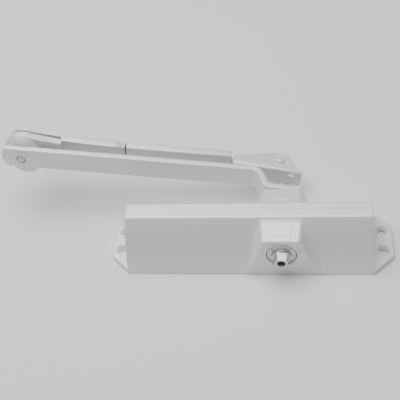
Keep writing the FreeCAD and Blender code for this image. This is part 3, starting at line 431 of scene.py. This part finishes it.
class Finish:
    """A material's nodes while they are being put together."""

    def __init__(self, name):
        self.material = bpy.data.materials.new(name)
        self.material.use_nodes = True
        self.tree = self.material.node_tree
        self.tree.nodes.clear()

    def node(self, kind, settings=None, inputs=None, output=0):
        """Adds a node: its settings, such as a Math node's operation, then its sockets' values or links."""
        made = self.tree.nodes.new(kind)
        for key, value in (settings or {}).items():
            setattr(made, key, value)
        for key, value in (inputs or {}).items():
            if isinstance(value, Value):
                self.tree.links.new(value.socket, made.inputs[key])
            else:
                made.inputs[key].default_value = value
        return Value(self, made.outputs[output])

    def place(self):
        """The point's place on the piece, in metres."""
        return self.node("ShaderNodeTexCoord", output="Object")

    def noise(self, place, scale, detail=3.0, roughness=0.5, distortion=0.0):
        inputs = {"Vector": place, "Scale": scale, "Detail": detail, "Roughness": roughness,
                  "Distortion": distortion}
        return self.node("ShaderNodeTexNoise", None, inputs, "Fac")

    def grains(self, place, scale):
        return self.node("ShaderNodeTexVoronoi", None, {"Vector": place, "Scale": scale}, "Distance")

    def parts(self, place):
        """X, Y and Z of a place."""
        made = self.node("ShaderNodeSeparateXYZ", None, {0: place}).socket.node
        return [Value(self, socket) for socket in made.outputs]

    def mix(self, share, first, second):
        inputs = {0: share, 6: shade4(first), 7: shade4(second)}
        return self.node("ShaderNodeMix", {"data_type": "RGBA"}, inputs, 2)

    def bump(self, height, strength, distance):
        inputs = {"Height": height, "Strength": strength, "Distance": distance}
        return self.node("ShaderNodeBump", None, inputs, "Normal")

    def done(self, **sockets):
        """The surface shader and the output. Underscores in socket names stand for spaces."""
        inputs = {name.replace("_", " "): shade4(value) for name, value in sockets.items()}
        surface = self.node("ShaderNodeBsdfPrincipled", None, inputs, "BSDF")
        output = self.tree.nodes.new("ShaderNodeOutputMaterial")
        self.tree.links.new(surface.socket, output.inputs["Surface"])
        return self.material


def shade4(value):
    """A colour of three numbers as four; anything else as it is."""
    if isinstance(value, (Value, int, float)):
        return value
    return (*value, 1.0) if len(value) == 3 else tuple(value)


def shaded(base, factor):
    """A colour made lighter or darker."""
    return tuple(min(1.0, channel * factor) for channel in base[:3])


def once(maker):
    """Makes a material the first time and hands out the same one after that."""
    def cached(settings):
        found = bpy.data.materials.get(maker.__name__)
        return found or maker(settings)
    return cached


@once
def white_powder_coat(settings):
    """Powder coat: an orange-peel skin of soft cells with finer grain over it, uneven in tone and gloss."""
    f = Finish("white_powder_coat")
    place = f.place()
    cloud = f.noise(place, 22.0, 3.0)
    peel = f.noise(place, 620.0, 2.0, 0.45)
    grain = f.noise(place, 2600.0, 2.0, 0.6)
    specks = (f.grains(place, 240.0) * 9.0).clamped()
    tone = (cloud - 0.5) * 0.9 + (peel - 0.5) * 0.35 + 0.5
    base = f.mix(tone.clamped(), shaded(settings.white, 0.965), shaded(settings.white, 1.03))
    base = f.mix((1 - specks) * 0.16, base, shaded(settings.white, 0.72))
    rough = 0.40 + (cloud - 0.5) * 0.16 + (grain - 0.5) * 0.12
    normal = f.bump(peel * 0.75 + grain * 0.25, 0.35, 0.00006)
    return f.done(Base_Color=base, Roughness=rough.clamped(), Normal=normal, Coat_Weight=0.12,
                  Coat_Roughness=0.32, IOR=1.5)


@once
def thin_white_paint(settings):
    """White paint over turned steel, with a fine skin of its own and grey where it has rubbed thin."""
    f = Finish("thin_white_paint")
    place = f.place()
    cloud = f.noise(place, 90.0, 4.0, 0.55)
    peel = f.noise(place, 900.0, 2.0)
    rub = ((f.noise(place, 320.0, 4.0, 0.65) - 0.56) * 6.0).clamped()
    base = f.mix(cloud, shaded(settings.thin_white, 0.94), shaded(settings.thin_white, 1.03))
    base = f.mix(rub * 0.35, base, shaded(settings.steel, 0.82))
    rough = 0.36 + (peel - 0.5) * 0.15 + (cloud - 0.5) * 0.12
    normal = f.bump(peel, 0.3, 0.00005)
    return f.done(Base_Color=base, Roughness=rough.clamped(), Normal=normal, Coat_Weight=0.1,
                  Coat_Roughness=0.3)


STREAKS = 460.0            # scale of the noise behind the tool marks
STREAK_SQUEEZE = (1.0, 22.0, 1.0)  # how much closer the marks lie along Y than along X and Z


def turned_metal(name, base_colour, roughness):
    """Metal with fine tool marks: thin streaks from noise squeezed along Y, cloudy oil film and small dark
    pits."""
    f = Finish(name)
    place = f.place()
    lanes = f.node("ShaderNodeMapping", None, {"Vector": place, "Scale": STREAK_SQUEEZE}, "Vector")
    streaks = f.noise(lanes, STREAKS, 3.0, 0.6)
    film = f.noise(place, 70.0, 4.0, 0.55, 0.4)
    pits = (f.grains(place, 900.0) * 7.0).clamped()
    tone = (streaks - 0.5) * 0.8 + (film - 0.5) * 0.7 + 0.5
    base = f.mix(tone.clamped(), shaded(base_colour, 0.80), shaded(base_colour, 1.12))
    base = f.mix((1 - pits) * 0.25, base, shaded(base_colour, 0.45))
    rough = roughness + (film - 0.5) * 0.22 + (streaks - 0.5) * 0.14
    normal = f.bump(streaks, 0.22, 0.00004)
    return f.done(Base_Color=base, Metallic=1.0, Roughness=rough.clamped(), Normal=normal)


@once
def machined_steel(settings):
    """Bright steel with a machined face."""
    return turned_metal("machined_steel", settings.steel, 0.52)


@once
def zinc_plated_steel(settings):
    """Zinc plate: a crystalline patchwork, bluish and a little cloudy."""
    f = Finish("zinc_plated_steel")
    place = f.place()
    flakes = f.node("ShaderNodeTexVoronoi", None, {"Vector": place, "Scale": 420.0}, "Color")
    flake = f.parts(flakes)[0]
    cloud = f.noise(place, 60.0, 4.0, 0.55)
    tone = (flake * 0.5 + cloud * 0.5).clamped()
    base = f.mix(tone, shaded(settings.zinc, 0.84), shaded(settings.zinc, 1.10))
    rough = 0.26 + (flake - 0.5) * 0.12 + (cloud - 0.5) * 0.18
    normal = f.bump(f.noise(place, 1500.0, 2.0), 0.15, 0.00003)
    return f.done(Base_Color=base, Metallic=1.0, Roughness=rough.clamped(), Normal=normal)


@once
def spring_steel(settings):
    """Dark oil-tempered wire with a blue-brown scale."""
    f = Finish("spring_steel")
    place = f.place()
    scale = f.noise(place, 260.0, 4.0, 0.6)
    drift = f.noise(place, 30.0, 2.0)
    base = f.mix(scale, shaded(settings.wire, 0.6), shaded(settings.wire, 1.25))
    base = f.mix(drift * 0.5, base, (0.17, 0.14, 0.115))
    rough = 0.36 + (scale - 0.5) * 0.25
    normal = f.bump(scale, 0.2, 0.00004)
    return f.done(Base_Color=base, Metallic=0.9, Roughness=rough.clamped(), Normal=normal)


@once
def bearing_bronze(settings):
    """Turned bronze with open pores that hold oil."""
    return turned_metal("bearing_bronze", settings.bronze, 0.34)


def moulded(name, base_colour, roughness, gloss):
    """A moulded black part: soft tone drift, a fine eroded skin and faint bloom."""
    f = Finish(name)
    place = f.place()
    drift = f.noise(place, 45.0, 3.0)
    skin_grain = f.noise(place, 1400.0, 3.0, 0.6)
    bloom = ((f.noise(place, 160.0, 4.0, 0.6) - 0.5) * 3.0).clamped()
    base = f.mix(drift, shaded(base_colour, 0.8), shaded(base_colour, 1.3))
    base = f.mix(bloom * 0.2, base, shaded(base_colour, 2.6))
    rough = roughness + (skin_grain - 0.5) * 0.2
    normal = f.bump(skin_grain, 0.3, 0.00005)
    return f.done(Base_Color=base, Roughness=rough.clamped(), Normal=normal, Specular_IOR_Level=gloss)


@once
def nitrile_rubber(settings):
    """Matt black rubber."""
    return moulded("nitrile_rubber", settings.rubber, 0.62, 0.35)


@once
def black_nylon(settings):
    """Black nylon, a little shinier than rubber."""
    return moulded("black_nylon", settings.nylon, 0.42, 0.5)


@once
def bright_ball(settings):
    """Ground and polished ball: hair-fine scratches in a bright surface."""
    f = Finish("bright_ball")
    place = f.place()
    hair = f.noise(place, 2400.0, 5.0, 0.7, 1.5)
    base = f.mix(hair, shaded(settings.ball, 0.92), settings.ball)
    rough = 0.08 + (hair - 0.5) * 0.06
    normal = f.bump(hair, 0.05, 0.00002)
    return f.done(Base_Color=base, Metallic=1.0, Roughness=rough.clamped(), Normal=normal)


FINISHES = {
    "white_powder_coat": white_powder_coat, "thin_white_paint": thin_white_paint,
    "machined_steel": machined_steel, "zinc_plated_steel": zinc_plated_steel, "spring_steel": spring_steel,
    "bearing_bronze": bearing_bronze, "nitrile_rubber": nitrile_rubber, "black_nylon": black_nylon,
    "bright_ball": bright_ball,
}


# ------------------------------------------------------------------ cast body
BODY_SECTIONS = 236        # sections along the body, crowded at the boss's flanks
BODY_RAYS = 131            # directions around half a section, crowded at its corners
HALVINGS = 24              # of a ray, to find where it leaves the casting
SHARP_EDGE = 0.0001        # rounding of the boss's side edges at the mounting face
ROUND_FROM = 0.4           # share of the boss's height by which they reach their full rounding
LEAN_FROM = 0.85           # share of the half length beyond which the ends lean in
LUG_INSET = 0.0006         # how much narrower than the body a lug's root is, on each side
LUG_BURIED = 0.010         # how far a lug runs on inside the body
LUG_NARROWS = 0.0035       # how much narrower it grows in there, on each side
LUG_ROOT = 0.0005          # how far inside the body's end its widest place is
LUG_CORNERS = (0.0005, 0.0012)  # radii of its corners in there and at its widest place
NEEDLE = 0.57              # radius of a valve's needle bore as a share of the valve's radius
VALVE_FIT = 1.017          # radius of a valve's bore as a share of the valve's radius
PLATE_OUT = 0.63           # place of a blank plate as a share of the way out to the bearing face


def overlap(first, second, radius):
    """Distance to what two shapes share, the edge between them rounded to about that radius."""
    return np.minimum(-radius, np.maximum(first, second)) + np.hypot(
        np.maximum(first + radius, 0), np.maximum(second + radius, 0))


def joined(first, second, radius):
    """Distance to two shapes together, the corner between them filled to about that radius."""
    return np.maximum(radius, np.minimum(first, second)) - np.hypot(
        np.maximum(radius - first, 0), np.maximum(radius - second, 0))


def leaning(out, up, low, high):
    """Distance outside a line from low to high, each a distance out and a height."""
    run, rise = high[0] - low[0], high[1] - low[1]
    return ((out - low[0]) * rise - (up - low[1]) * run) / math.hypot(run, rise)


def body_distance(y, z, body):
    """The plain body: on each side two leaning planes faired into one bulging flank, under a flat strip."""
    out = np.abs(y)
    base, bend = (HOUSING_HIGH[1], 0.0), (body.bulge_out, body.bulge_up)
    strip = (body.strip_half, HOUSING_HIGH[2])
    flank = overlap(leaning(out, z, base, bend), leaning(out, z, bend, strip), body.flank_fairing)
    return overlap(flank, z - HOUSING_HIGH[2], body.edge)


def boss_distance(x, y, z, boss):
    """The boss without its bearing face: sides that flare towards the base, under a roof that falls away from
    the middle plane. Each width is a straight-line mix of its values at the middle plane and at the face."""
    out = np.abs(y)
    roof = boss.crown - (boss.crown - boss.top) * out / boss.face_top
    half_low = boss.root_base_half - (boss.root_base_half - boss.base_half) * out / boss.face_base
    half_high = boss.root_half - (boss.root_half - boss.top_half) * out / boss.face_top
    flare = math.cos(math.atan2(boss.base_half - boss.top_half, boss.top))
    side = (np.abs(x - PINION[0]) - half_low - (half_high - half_low) * z / roof) * flare
    return overlap(side, z - roof, boss.top_edge)


def beyond_face(y, z, boss):
    """Distance outside the drafted planes of the two bearing faces."""
    return np.abs(y) - boss.face_base + (boss.face_base - boss.face_top) * z / boss.top


def casting_rings(body, boss):
    """Rings of the casting. Ring i is a section across X and point j a direction about the middle line. The
    point is where that ray leaves the body and boss, joined by a fillet and cut by the bearing faces and the
    mounting face. It is found by halving. Towards each end the sections shrink along a quarter circle, and
    they lean in with height as the end face does."""
    def distance(x, y, z):
        soft = np.interp(z, (boss.top - boss.fillet, boss.top), (boss.fillet, boss.top_edge))
        whole = joined(body_distance(y, z, body), boss_distance(x, y, z, boss), soft)
        edge = np.interp(z, (0, boss.top * ROUND_FROM), (SHARP_EDGE, boss.side_edge))
        return overlap(overlap(whole, beyond_face(y, z, boss), edge), -z, body.edge / 2)

    middle_z = HOUSING_HIGH[2] / 3
    flanks = [PINION[0] + sign * (boss.top_half + boss.base_half) / 2 for sign in (-1, 1)]
    last = body.core_half - body.end_edge
    inner = crowded(-last, last, BODY_SECTIONS, flanks, width=0.0105, gain=4.5)
    arc = np.linspace(0, math.pi / 2, 6)[1:]
    over = inner[-1] + body.end_edge * np.sin(arc)
    shrink = body.end_edge * (1 - np.cos(arc))
    stations = np.concatenate([-over[::-1], inner, over])
    inset = np.concatenate([shrink[::-1], np.zeros(len(inner)), shrink])
    edges = [math.atan2(body.strip_half, HOUSING_HIGH[2] - middle_z),
             math.atan2(boss.face_top, boss.top - middle_z), math.atan2(HOUSING_HIGH[1], -middle_z)]
    half_turn = crowded(0, math.pi, BODY_RAYS, edges, width=0.07, gain=5.0)
    angle = np.concatenate([half_turn, math.tau - half_turn[-2:0:-1]])
    x, angle, inset = np.broadcast_arrays(stations[:, None], angle[None, :], inset[:, None])
    low, high = np.zeros(x.shape), np.full(x.shape, HOUSING_HIGH[1] * 2)
    for _ in range(HALVINGS):
        middle = (low + high) / 2
        inside = distance(x, middle * np.sin(angle), middle_z + middle * np.cos(angle)) < -inset
        low, high = np.where(inside, middle, low), np.where(inside, high, middle)
    y, z = low * np.sin(angle), middle_z + low * np.cos(angle)
    leaning_share = np.clip((np.abs(x) / body.core_half - LEAN_FROM) / (1 - LEAN_FROM), 0, 1)
    lean = leaning_share * body.end_lean * z / HOUSING_HIGH[2]
    return np.stack([x - np.sign(x) * lean, y, z], -1)


def lug_rings(sign, body):
    """Rings of a fixing lug, from its underside up: a plate that widens into the body, its top edge rounded
    by shrinking the outline along a quarter circle."""
    end, root = HOUSING_HIGH[0], body.core_half
    wide = HOUSING_HIGH[1] - LUG_INSET
    near = [(root - LUG_BURIED, wide - LUG_NARROWS), (root - LUG_ROOT, wide), (end, body.lug_end_half)]
    radii = [*LUG_CORNERS, body.lug_corner]
    corners = near + [(x, -y) for x, y in reversed(near)]
    outline = rounded(corners, radii + radii[::-1], 10)
    middle = outline.mean(0)
    arc = np.linspace(0, math.pi / 2, 6)
    heights = np.concatenate([[0.00002], body.lug_thickness - body.edge + body.edge * np.sin(arc)])
    inset = np.concatenate([[0.0], body.edge * (1 - np.cos(arc))])
    size = 1 - inset[:, None, None] / np.linalg.norm(outline - middle, axis=1)[None, :, None]
    flat = middle + (outline - middle) * size
    height = np.broadcast_to(heights[:, None, None], (*flat.shape[:2], 1))
    return np.concatenate([flat * (sign, 1), height], -1)


def fixing_tools(body):
    """Tools for the four fixing holes with their countersinks."""
    dims = HOLES["dims"]
    radius = dims["hole_r_mm"] / 1000
    half_x, half_y = dims["spacing_x_mm"] / 2000, dims["spacing_y_mm"] / 2000
    top, sink = body.lug_thickness, body.countersink
    profile = [(radius, -0.002), (radius, top - body.countersink_depth), (sink, top), (sink, top * 3)]
    return [skin(f"fixing_{i}_{j}", turned_rings(profile, (i * half_x, j * half_y, 0), (0, 0, 1), 48))
            for i in (-1, 1) for j in (-1, 1)]


def valve_tools():
    """Tools for the two adjusting-valve bores, each a little wider than its valve and its needle."""
    tools = []
    for name in ("closing_valve", "latching_valve"):
        low, high = span(name)
        centre = (low + high) / 2
        radius = (high[2] - low[2]) / 2
        step = low[0] + (high[0] - low[0]) / 3
        needle, bore = radius * NEEDLE, radius * VALVE_FIT
        profile = [(needle, low[0] - 0.002), (needle, step), (bore, step + 0.0001), (bore, high[0] + 0.02)]
        tools.append(skin(name + "_bore", turned_rings(profile, (0, centre[1], centre[2]), (1, 0, 0), 48)))
    return tools


class CLOSER_OT_body(bpy.types.Operator):
    """Cast body with its bearing bosses, fixing lugs and bores"""
    bl_idname = "closer.body"
    bl_label = "Cast body"

    def execute(self, context):
        body, boss = context.scene.closer_body, context.scene.closer_boss
        piece = skin("cast_body", casting_rings(body, boss))
        lugs = [skin(f"lug_{sign}", lug_rings(sign, body)) for sign in (-1, 1)]
        carved(piece, lugs, "UNION")
        centre = (0, 0, CYLINDER_AXIS_Z)
        past_end, past_face = 0.11, 0.05
        tools = [peg("cylinder_bore", body.bore, -past_end, past_end, centre, (1, 0, 0))]
        for sign in (-1, 1):
            tools.append(peg(f"pocket_{sign}", body.pocket, body.pocket_floor, past_face, PINION,
                             (0, sign, 0)))
        carved(piece, tools + fixing_tools(body) + valve_tools())
        finished(piece, "housing")
        for sign in (-1, 1):
            name_plate(sign, boss)
        return {"FINISHED"}


def name_plate(sign, boss):
    """A blank plate on the sloping roof of a boss: a rounded rectangle with a rounded rim."""
    fall = (boss.crown - boss.top) / boss.face_top
    centre_y = boss.face_top * PLATE_OUT
    arc = np.linspace(0, math.pi / 2, 5)
    rim, sunk, corner = 0.0004, 0.0004, 0.0012
    inset = np.concatenate([[0.0], rim * (1 - np.cos(arc))])
    height = np.concatenate([[-sunk], boss.plate_proud * np.sin(arc)])
    flat = box_rings(boss.plate_half_x - inset, boss.plate_half_y - inset, corner)
    out = centre_y + flat[..., 1]
    z = boss.crown - fall * out + height[:, None]
    rings = np.stack([PINION[0] + flat[..., 0], sign * out, z], -1)
    side = "near" if sign < 0 else "far"
    plate = skin(f"blank_plate_{side}", rings)
    plate.data.materials.append(white_powder_coat(bpy.context.scene.closer_finish))
    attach(plate, "housing")


# ------------------------------------------------------------------ main arm
ARM_SECTIONS = 300         # sections along the arm, crowded at its bends and ends
TIP_TURN = math.radians(4)  # how far short of its very tip the rounded end stops
TOOL_PAST = 0.003          # how far the square tool reaches past the arm's faces


def arm_rings(arm):
    """Rings of the cranked flat arm. The middle of the metal is a line in the plane of X and Y with two
    rounded bends. Each section is a rounded rectangle, as thick as the metal and as wide as the outline is
    there: a blunt end past the pinion, a straight bar, and a rounded end past the elbow."""
    low, high = span("main_arm")
    plate = low[1] + arm.thickness / 2 - PINION[1]
    run = high[1] - arm.thickness / 2 - PINION[1]
    corners = np.array([(arm.head * 1.2, plate), (-arm.crank_start, plate), (-arm.crank_end, run),
                        (-ARM_CENTRES - arm.tail * 1.2, run)])
    bent = rounded(corners, [1e-6, arm.crank_radius, arm.crank_radius, 1e-6], 12)
    line = spread(bent, FINE_STEPS)
    along = line[:, 0]
    start, stop = arm.head, -ARM_CENTRES - arm.tail * math.cos(TIP_TURN)
    places = [-arm.crank_start, -arm.crank_end, start, stop, stop + arm.tail / 4]
    stations = crowded(stop, start, ARM_SECTIONS, places, width=0.006, gain=10.0)[::-1]
    order = np.argsort(along, kind="stable")
    across = np.interp(stations, along[order], line[order, 1])
    slope = np.gradient(across, stations)
    tangent = np.stack([np.ones_like(slope), slope], -1) / np.hypot(1, slope)[:, None]
    normal = np.stack([-tangent[:, 1], tangent[:, 0]], -1)
    head = np.sqrt(arm.head_round ** 2 - np.maximum(stations, 0) ** 2)
    tail = np.sqrt(np.maximum(arm.tail ** 2 - np.minimum(stations + ARM_CENTRES, 0) ** 2, 0))
    into_edge = np.clip(1 + (stations - start) / arm.edge, 0, 1)
    inset = arm.edge * (1 - np.sqrt(1 - into_edge ** 2))
    wide = np.minimum(np.minimum(arm.half_width, head), tail) - inset
    flat = box_rings(arm.thickness / 2 - inset, wide, arm.edge)
    x = stations[:, None] + flat[..., 0] * normal[:, 0, None]
    y = across[:, None] + flat[..., 0] * normal[:, 1, None]
    return (PINION + x[..., None] * ALONG_ARM + y[..., None] * np.array([0, 1.0, 0])
            + flat[..., 1, None] * ACROSS_ARM)


class CLOSER_OT_main_arm(bpy.types.Operator):
    """Main arm, with the square hole for the pinion and the hole for the elbow rivet"""
    bl_idname = "closer.main_arm"
    bl_label = "Main arm"

    def execute(self, context):
        arm = context.scene.closer_arm
        piece = skin("cranked_arm", arm_rings(arm))
        low, high = span("main_arm")
        half = arm.square / 2
        corners = [(-half, -half), (half, -half), (half, half), (-half, half)]
        square = np.array([PINION + along * ALONG_ARM + across * ACROSS_ARM for along, across in corners])
        depth = (low[1] - TOOL_PAST, low[1] + arm.thickness + TOOL_PAST)
        tool = np.array([square + np.array([0, y - PINION[1], 0]) for y in depth])
        hole = peg("rivet_hole", arm.cup_bore, high[1] - 0.02, high[1] + 0.02, (ELBOW[0], 0, ELBOW[2]),
                   (0, 1, 0))
        carved(piece, [skin("square_tool", tool), hole])
        finished(piece, "main_arm")
        return {"FINISHED"}


# ------------------------------------------------------------------ pieces rounded from the packed ones
SOFT_EDGES = {
    # node: rounding in metres
    "pinion": 0.0003, "bearing_ring_near": 0.00025, "bearing_ring_far": 0.00025, "arm_washer": 0.0003,
    "arm_screw": 0.0004, "elbow_hub": 0.0006, "elbow_spacer": 0.0003, "forearm_fork": 0.0008,
    "clamp_screw": 0.0001, "foot_bracket": 0.0006, "foot_rivet": 0.0003, "foot_washer": 0.0002,
    "forearm_rod": 0.0003, "end_plug_left": 0.0004, "end_plug_right": 0.0004, "closing_valve": 0.0002,
    "latching_valve": 0.0002,
}


class CLOSER_OT_small_pieces(bpy.types.Operator):
    """Shafts, rings, rivets, screws and pressed pieces, with their edges rounded"""
    bl_idname = "closer.small_pieces"
    bl_label = "Shafts, rings and pressings"

    def execute(self, context):
        for node, width in SOFT_EDGES.items():
            finished(softened(node, width), node)
        return {"FINISHED"}


def dome(radius, low, high):
    """Profile of a domed head, from its rim at low to its crown at high: the cap of a sphere, left open just
    around its crown."""
    height = high - low
    ball = (radius ** 2 + height ** 2) / (2 * abs(height))
    crown_turn = 0.02
    turn = np.linspace(math.asin(radius / ball), crown_turn, 8)
    return [(ball * math.sin(t), high - math.copysign(ball * (1 - math.cos(t)), height)) for t in turn]


class CLOSER_OT_elbow_rivet(bpy.types.Operator):
    """Elbow rivet, and the pressed cup around its near end with a dark gap between them"""
    bl_idname = "closer.elbow_rivet"
    bl_label = "Elbow rivet and cup"

    def execute(self, context):
        arm = context.scene.closer_arm
        axis, centre = (0, 1, 0), (ELBOW[0], 0, ELBOW[2])
        face = span("main_arm")[1][1] - arm.thickness
        top = face - arm.cup_height
        edge = arm.cup_height / 5
        profile = [(arm.cup_bore, face), (arm.cup_bore, top + edge), (arm.cup_bore + edge, top),
                   (arm.cup_rim - edge, top), (arm.cup_rim, top + edge / 2), (arm.cup, face)]
        finished(skin("rivet_cup", turned_rings(profile, centre, axis), ends="loop"), "elbow_cup")
        low, high = span("elbow_rivet")
        under = span("forearm_fork")[1][1] + edge / 2
        near = dome(arm.rivet_point, top + edge, low[1] + edge)[::-1]
        profile = [*near, (arm.rivet_point, face), (arm.rivet, face + edge), (arm.rivet, under),
                   *dome(arm.rivet_head, under, high[1])]
        finished(skin("domed_rivet", turned_rings(profile, centre, axis)), "elbow_rivet")
        return {"FINISHED"}


class CLOSER_OT_springs(bpy.types.Operator):
    """Two compression springs, one in the other, copied from the packed coils"""
    bl_idname = "closer.springs"
    bl_label = "Springs"

    def execute(self, context):
        stroke = max(abs(limit) for limit in joint("piston_slide")["range_m"])
        for node in ("spring_outer", "spring_inner"):
            low, high = span(node)
            mesh = frame["nodes"][node].data.copy()
            tidy(mesh)
            coil = finished(fresh(f"coil_{node}", mesh), node)
            1 - stroke / (high[0] - low[0])
            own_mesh(coil)
        return {"FINISHED"}


class CLOSER_OT_forearm_tube(bpy.types.Operator):
    """Rectangular tube of the adjustable forearm, with rounded corners and an open bore"""
    bl_idname = "closer.forearm_tube"
    bl_label = "Forearm tube"

    def execute(self, context):
        arm = context.scene.closer_arm
        finished(skin("rounded_tube", tube_rings(arm)), "forearm_tube")
        return {"FINISHED"}


TUBE_LIP = 0.35            # rounding of the tube's ends as a share of its wall


def forearm_axes():
    """Where the elbow is, and the directions along the forearm and across it, from its joints."""
    along = np.array(joint("forearm_extension")["axis"], float)
    across = np.cross(along, [0, 1.0, 0])
    return np.array([ELBOW[0], 0, ELBOW[2]]), along, across


def tube_rings(arm):
    """Rings of the tube: out along the outside, back along the bore, each end's lip rounded by shrinking the
    section along a quarter circle. The sections are rounded rectangles."""
    low, high = span("forearm_tube")
    elbow, along, across = forearm_axes()
    half_y = (high[1] - low[1]) / 2
    middle_y = (high[1] + low[1]) / 2
    vertices = np.array([v.co for v in frame["nodes"]["forearm_tube"].data.vertices])
    reach = (vertices - elbow) @ along
    half_z = np.abs((vertices - elbow) @ across).max()
    start, stop = reach.min(), reach.max()
    lip = arm.tube_wall * TUBE_LIP
    arc = np.linspace(0, math.pi / 2, 4)
    out_at, out_in = start + lip * (1 - np.sin(arc)), lip * (1 - np.cos(arc))
    station = np.concatenate([out_at[::-1], start + stop - out_at, start + stop - out_at[::-1], out_at])
    inset = np.concatenate([out_in[::-1], out_in, arm.tube_wall - out_in[::-1], arm.tube_wall - out_in])
    sections = box_rings(half_y - inset, half_z - inset, arm.tube_corner)
    return (elbow + np.array([0, middle_y, 0]) + station[:, None, None] * along
            + sections[..., 0, None] * np.array([0, 1.0, 0]) + sections[..., 1, None] * across)


class CLOSER_OT_finishes(bpy.types.Operator):
    """Finishes for the packed pieces that are shown as they are"""
    bl_idname = "closer.finishes"
    bl_label = "Finishes"

    def execute(self, context):
        for node, thing in frame["nodes"].items():
            thing.data.materials.clear()
            thing.data.materials.append(FINISHES[SLOT_OF[node]](context.scene.closer_finish))
        return {"FINISHED"}


# ------------------------------------------------------------------ studio
KEY_SIZE, KEY_PLACE = 1.3, Vector((-0.20, 0.14, 1.12))     # places from the middle of the closer
FILL_SIZE, FILL_PLACE = 0.9, Vector((0.5, -0.95, 0.75))
FLOOR_HALF = 3.0           # half the floor's width
FLOOR_GAP = 0.0003         # how far below the closer the floor lies


def soft_box(name, power, size, place, aim):
    """A square area light at a place, turned to face a point."""
    data = bpy.data.lights.new(name, "AREA")
    data.energy = power
    data.size = size
    light = fresh(name, data)
    light.location = place
    light.rotation_euler = (aim - place).to_track_quat("-Z", "Y").to_euler()


def floor_finish(settings):
    """A pale matt floor with a faint cloudy tone."""
    f = Finish("pale_floor")
    place = f.place()
    cloud = f.noise(place, 3.0, 3.0)
    base = f.mix(cloud, shaded(settings.floor, 0.985), shaded(settings.floor, 1.015))
    return f.done(Base_Color=base, Roughness=0.85, Specular_IOR_Level=0.2)


class CLOSER_OT_studio(bpy.types.Operator):
    """Pale floor, soft lights and the camera"""
    bl_idname = "closer.studio"
    bl_label = "Studio"

    def execute(self, context):
        studio = context.scene.closer_studio
        low, high = CAD_BOX
        half, level = FLOOR_HALF, low.z - FLOOR_GAP
        mesh = bpy.data.meshes.new("floor")
        corners = [(-half, -half, level), (half, -half, level), (half, half, level), (-half, half, level)]
        mesh.from_pydata(corners, [], [(0, 1, 2, 3)])
        mesh.materials.append(floor_finish(studio))
        fresh("floor", mesh)
        middle = (low + high) / 2
        soft_box("key_light", studio.key_power, KEY_SIZE, middle + KEY_PLACE, middle)
        soft_box("fill_light", studio.fill_power, FILL_SIZE, middle + FILL_PLACE, middle)
        world = bpy.data.worlds.new("surroundings")
        context.scene.world = world
        world.use_nodes = True
        shade = world.node_tree.nodes["Background"]
        shade.inputs["Color"].default_value = (0.95, 0.97, 1.0, 1.0)
        shade.inputs["Strength"].default_value = studio.surroundings
        self.add_camera(context, studio)
        return {"FINISHED"}

    def add_camera(self, context, studio):
        """The camera looks at its point from its azimuth and elevation, then rolls about its own axis."""
        data = bpy.data.cameras.new("camera")
        data.lens = studio.lens
        data.clip_start, data.clip_end = 0.01, 20.0
        camera = fresh("camera", data)
        flat = math.cos(studio.elevation)
        back = Vector((math.sin(studio.azimuth) * flat, -math.cos(studio.azimuth) * flat,
                       math.sin(studio.elevation)))
        turn = (-back).to_track_quat("-Z", "Y").to_matrix() @ Matrix.Rotation(-studio.roll, 3, "Z")
        place = Vector(studio.look_at) + back * studio.distance
        camera.matrix_world = Matrix.Translation(place) @ turn.to_4x4()
        context.scene.camera = camera


# ------------------------------------------------------------------ panel and registration
OPERATORS = (CLOSER_OT_studio, CLOSER_OT_body, CLOSER_OT_main_arm, CLOSER_OT_small_pieces,
             CLOSER_OT_elbow_rivet, CLOSER_OT_springs, CLOSER_OT_forearm_tube, CLOSER_OT_finishes)
GROUPS = {"closer_body": CLOSER_PG_body, "closer_boss": CLOSER_PG_boss, "closer_arm": CLOSER_PG_arm,
          "closer_finish": CLOSER_PG_finish, "closer_studio": CLOSER_PG_studio}


class CLOSER_PT_panel(bpy.types.Panel):
    """The closer's pieces and their sizes"""
    bl_idname = "CLOSER_PT_panel"
    bl_label = "Door closer"
    bl_space_type = "VIEW_3D"
    bl_region_type = "UI"
    bl_category = "Door closer"

    def draw(self, context):
        for operator in OPERATORS:
            self.layout.operator(operator.bl_idname)
        for name, group in GROUPS.items():
            box = self.layout.box()
            box.label(text=group.__doc__)
            for prop in group.__annotations__:
                box.prop(getattr(context.scene, name), prop)


def register():
    for group in GROUPS.values():
        bpy.utils.register_class(group)
    for name, group in GROUPS.items():
        setattr(bpy.types.Scene, name, PointerProperty(type=group))
    for kind in (*OPERATORS, CLOSER_PT_panel):
        bpy.utils.register_class(kind)


def unregister():
    for kind in (CLOSER_PT_panel, *reversed(OPERATORS)):
        bpy.utils.unregister_class(kind)
    for name in GROUPS:
        delattr(bpy.types.Scene, name)
    for group in reversed(list(GROUPS.values())):
        bpy.utils.unregister_class(group)


def main():
    register()
    for operator in OPERATORS:
        group, name = operator.bl_idname.split(".")
        getattr(getattr(bpy.ops, group), name)()


if __name__ == "__main__":
    main()
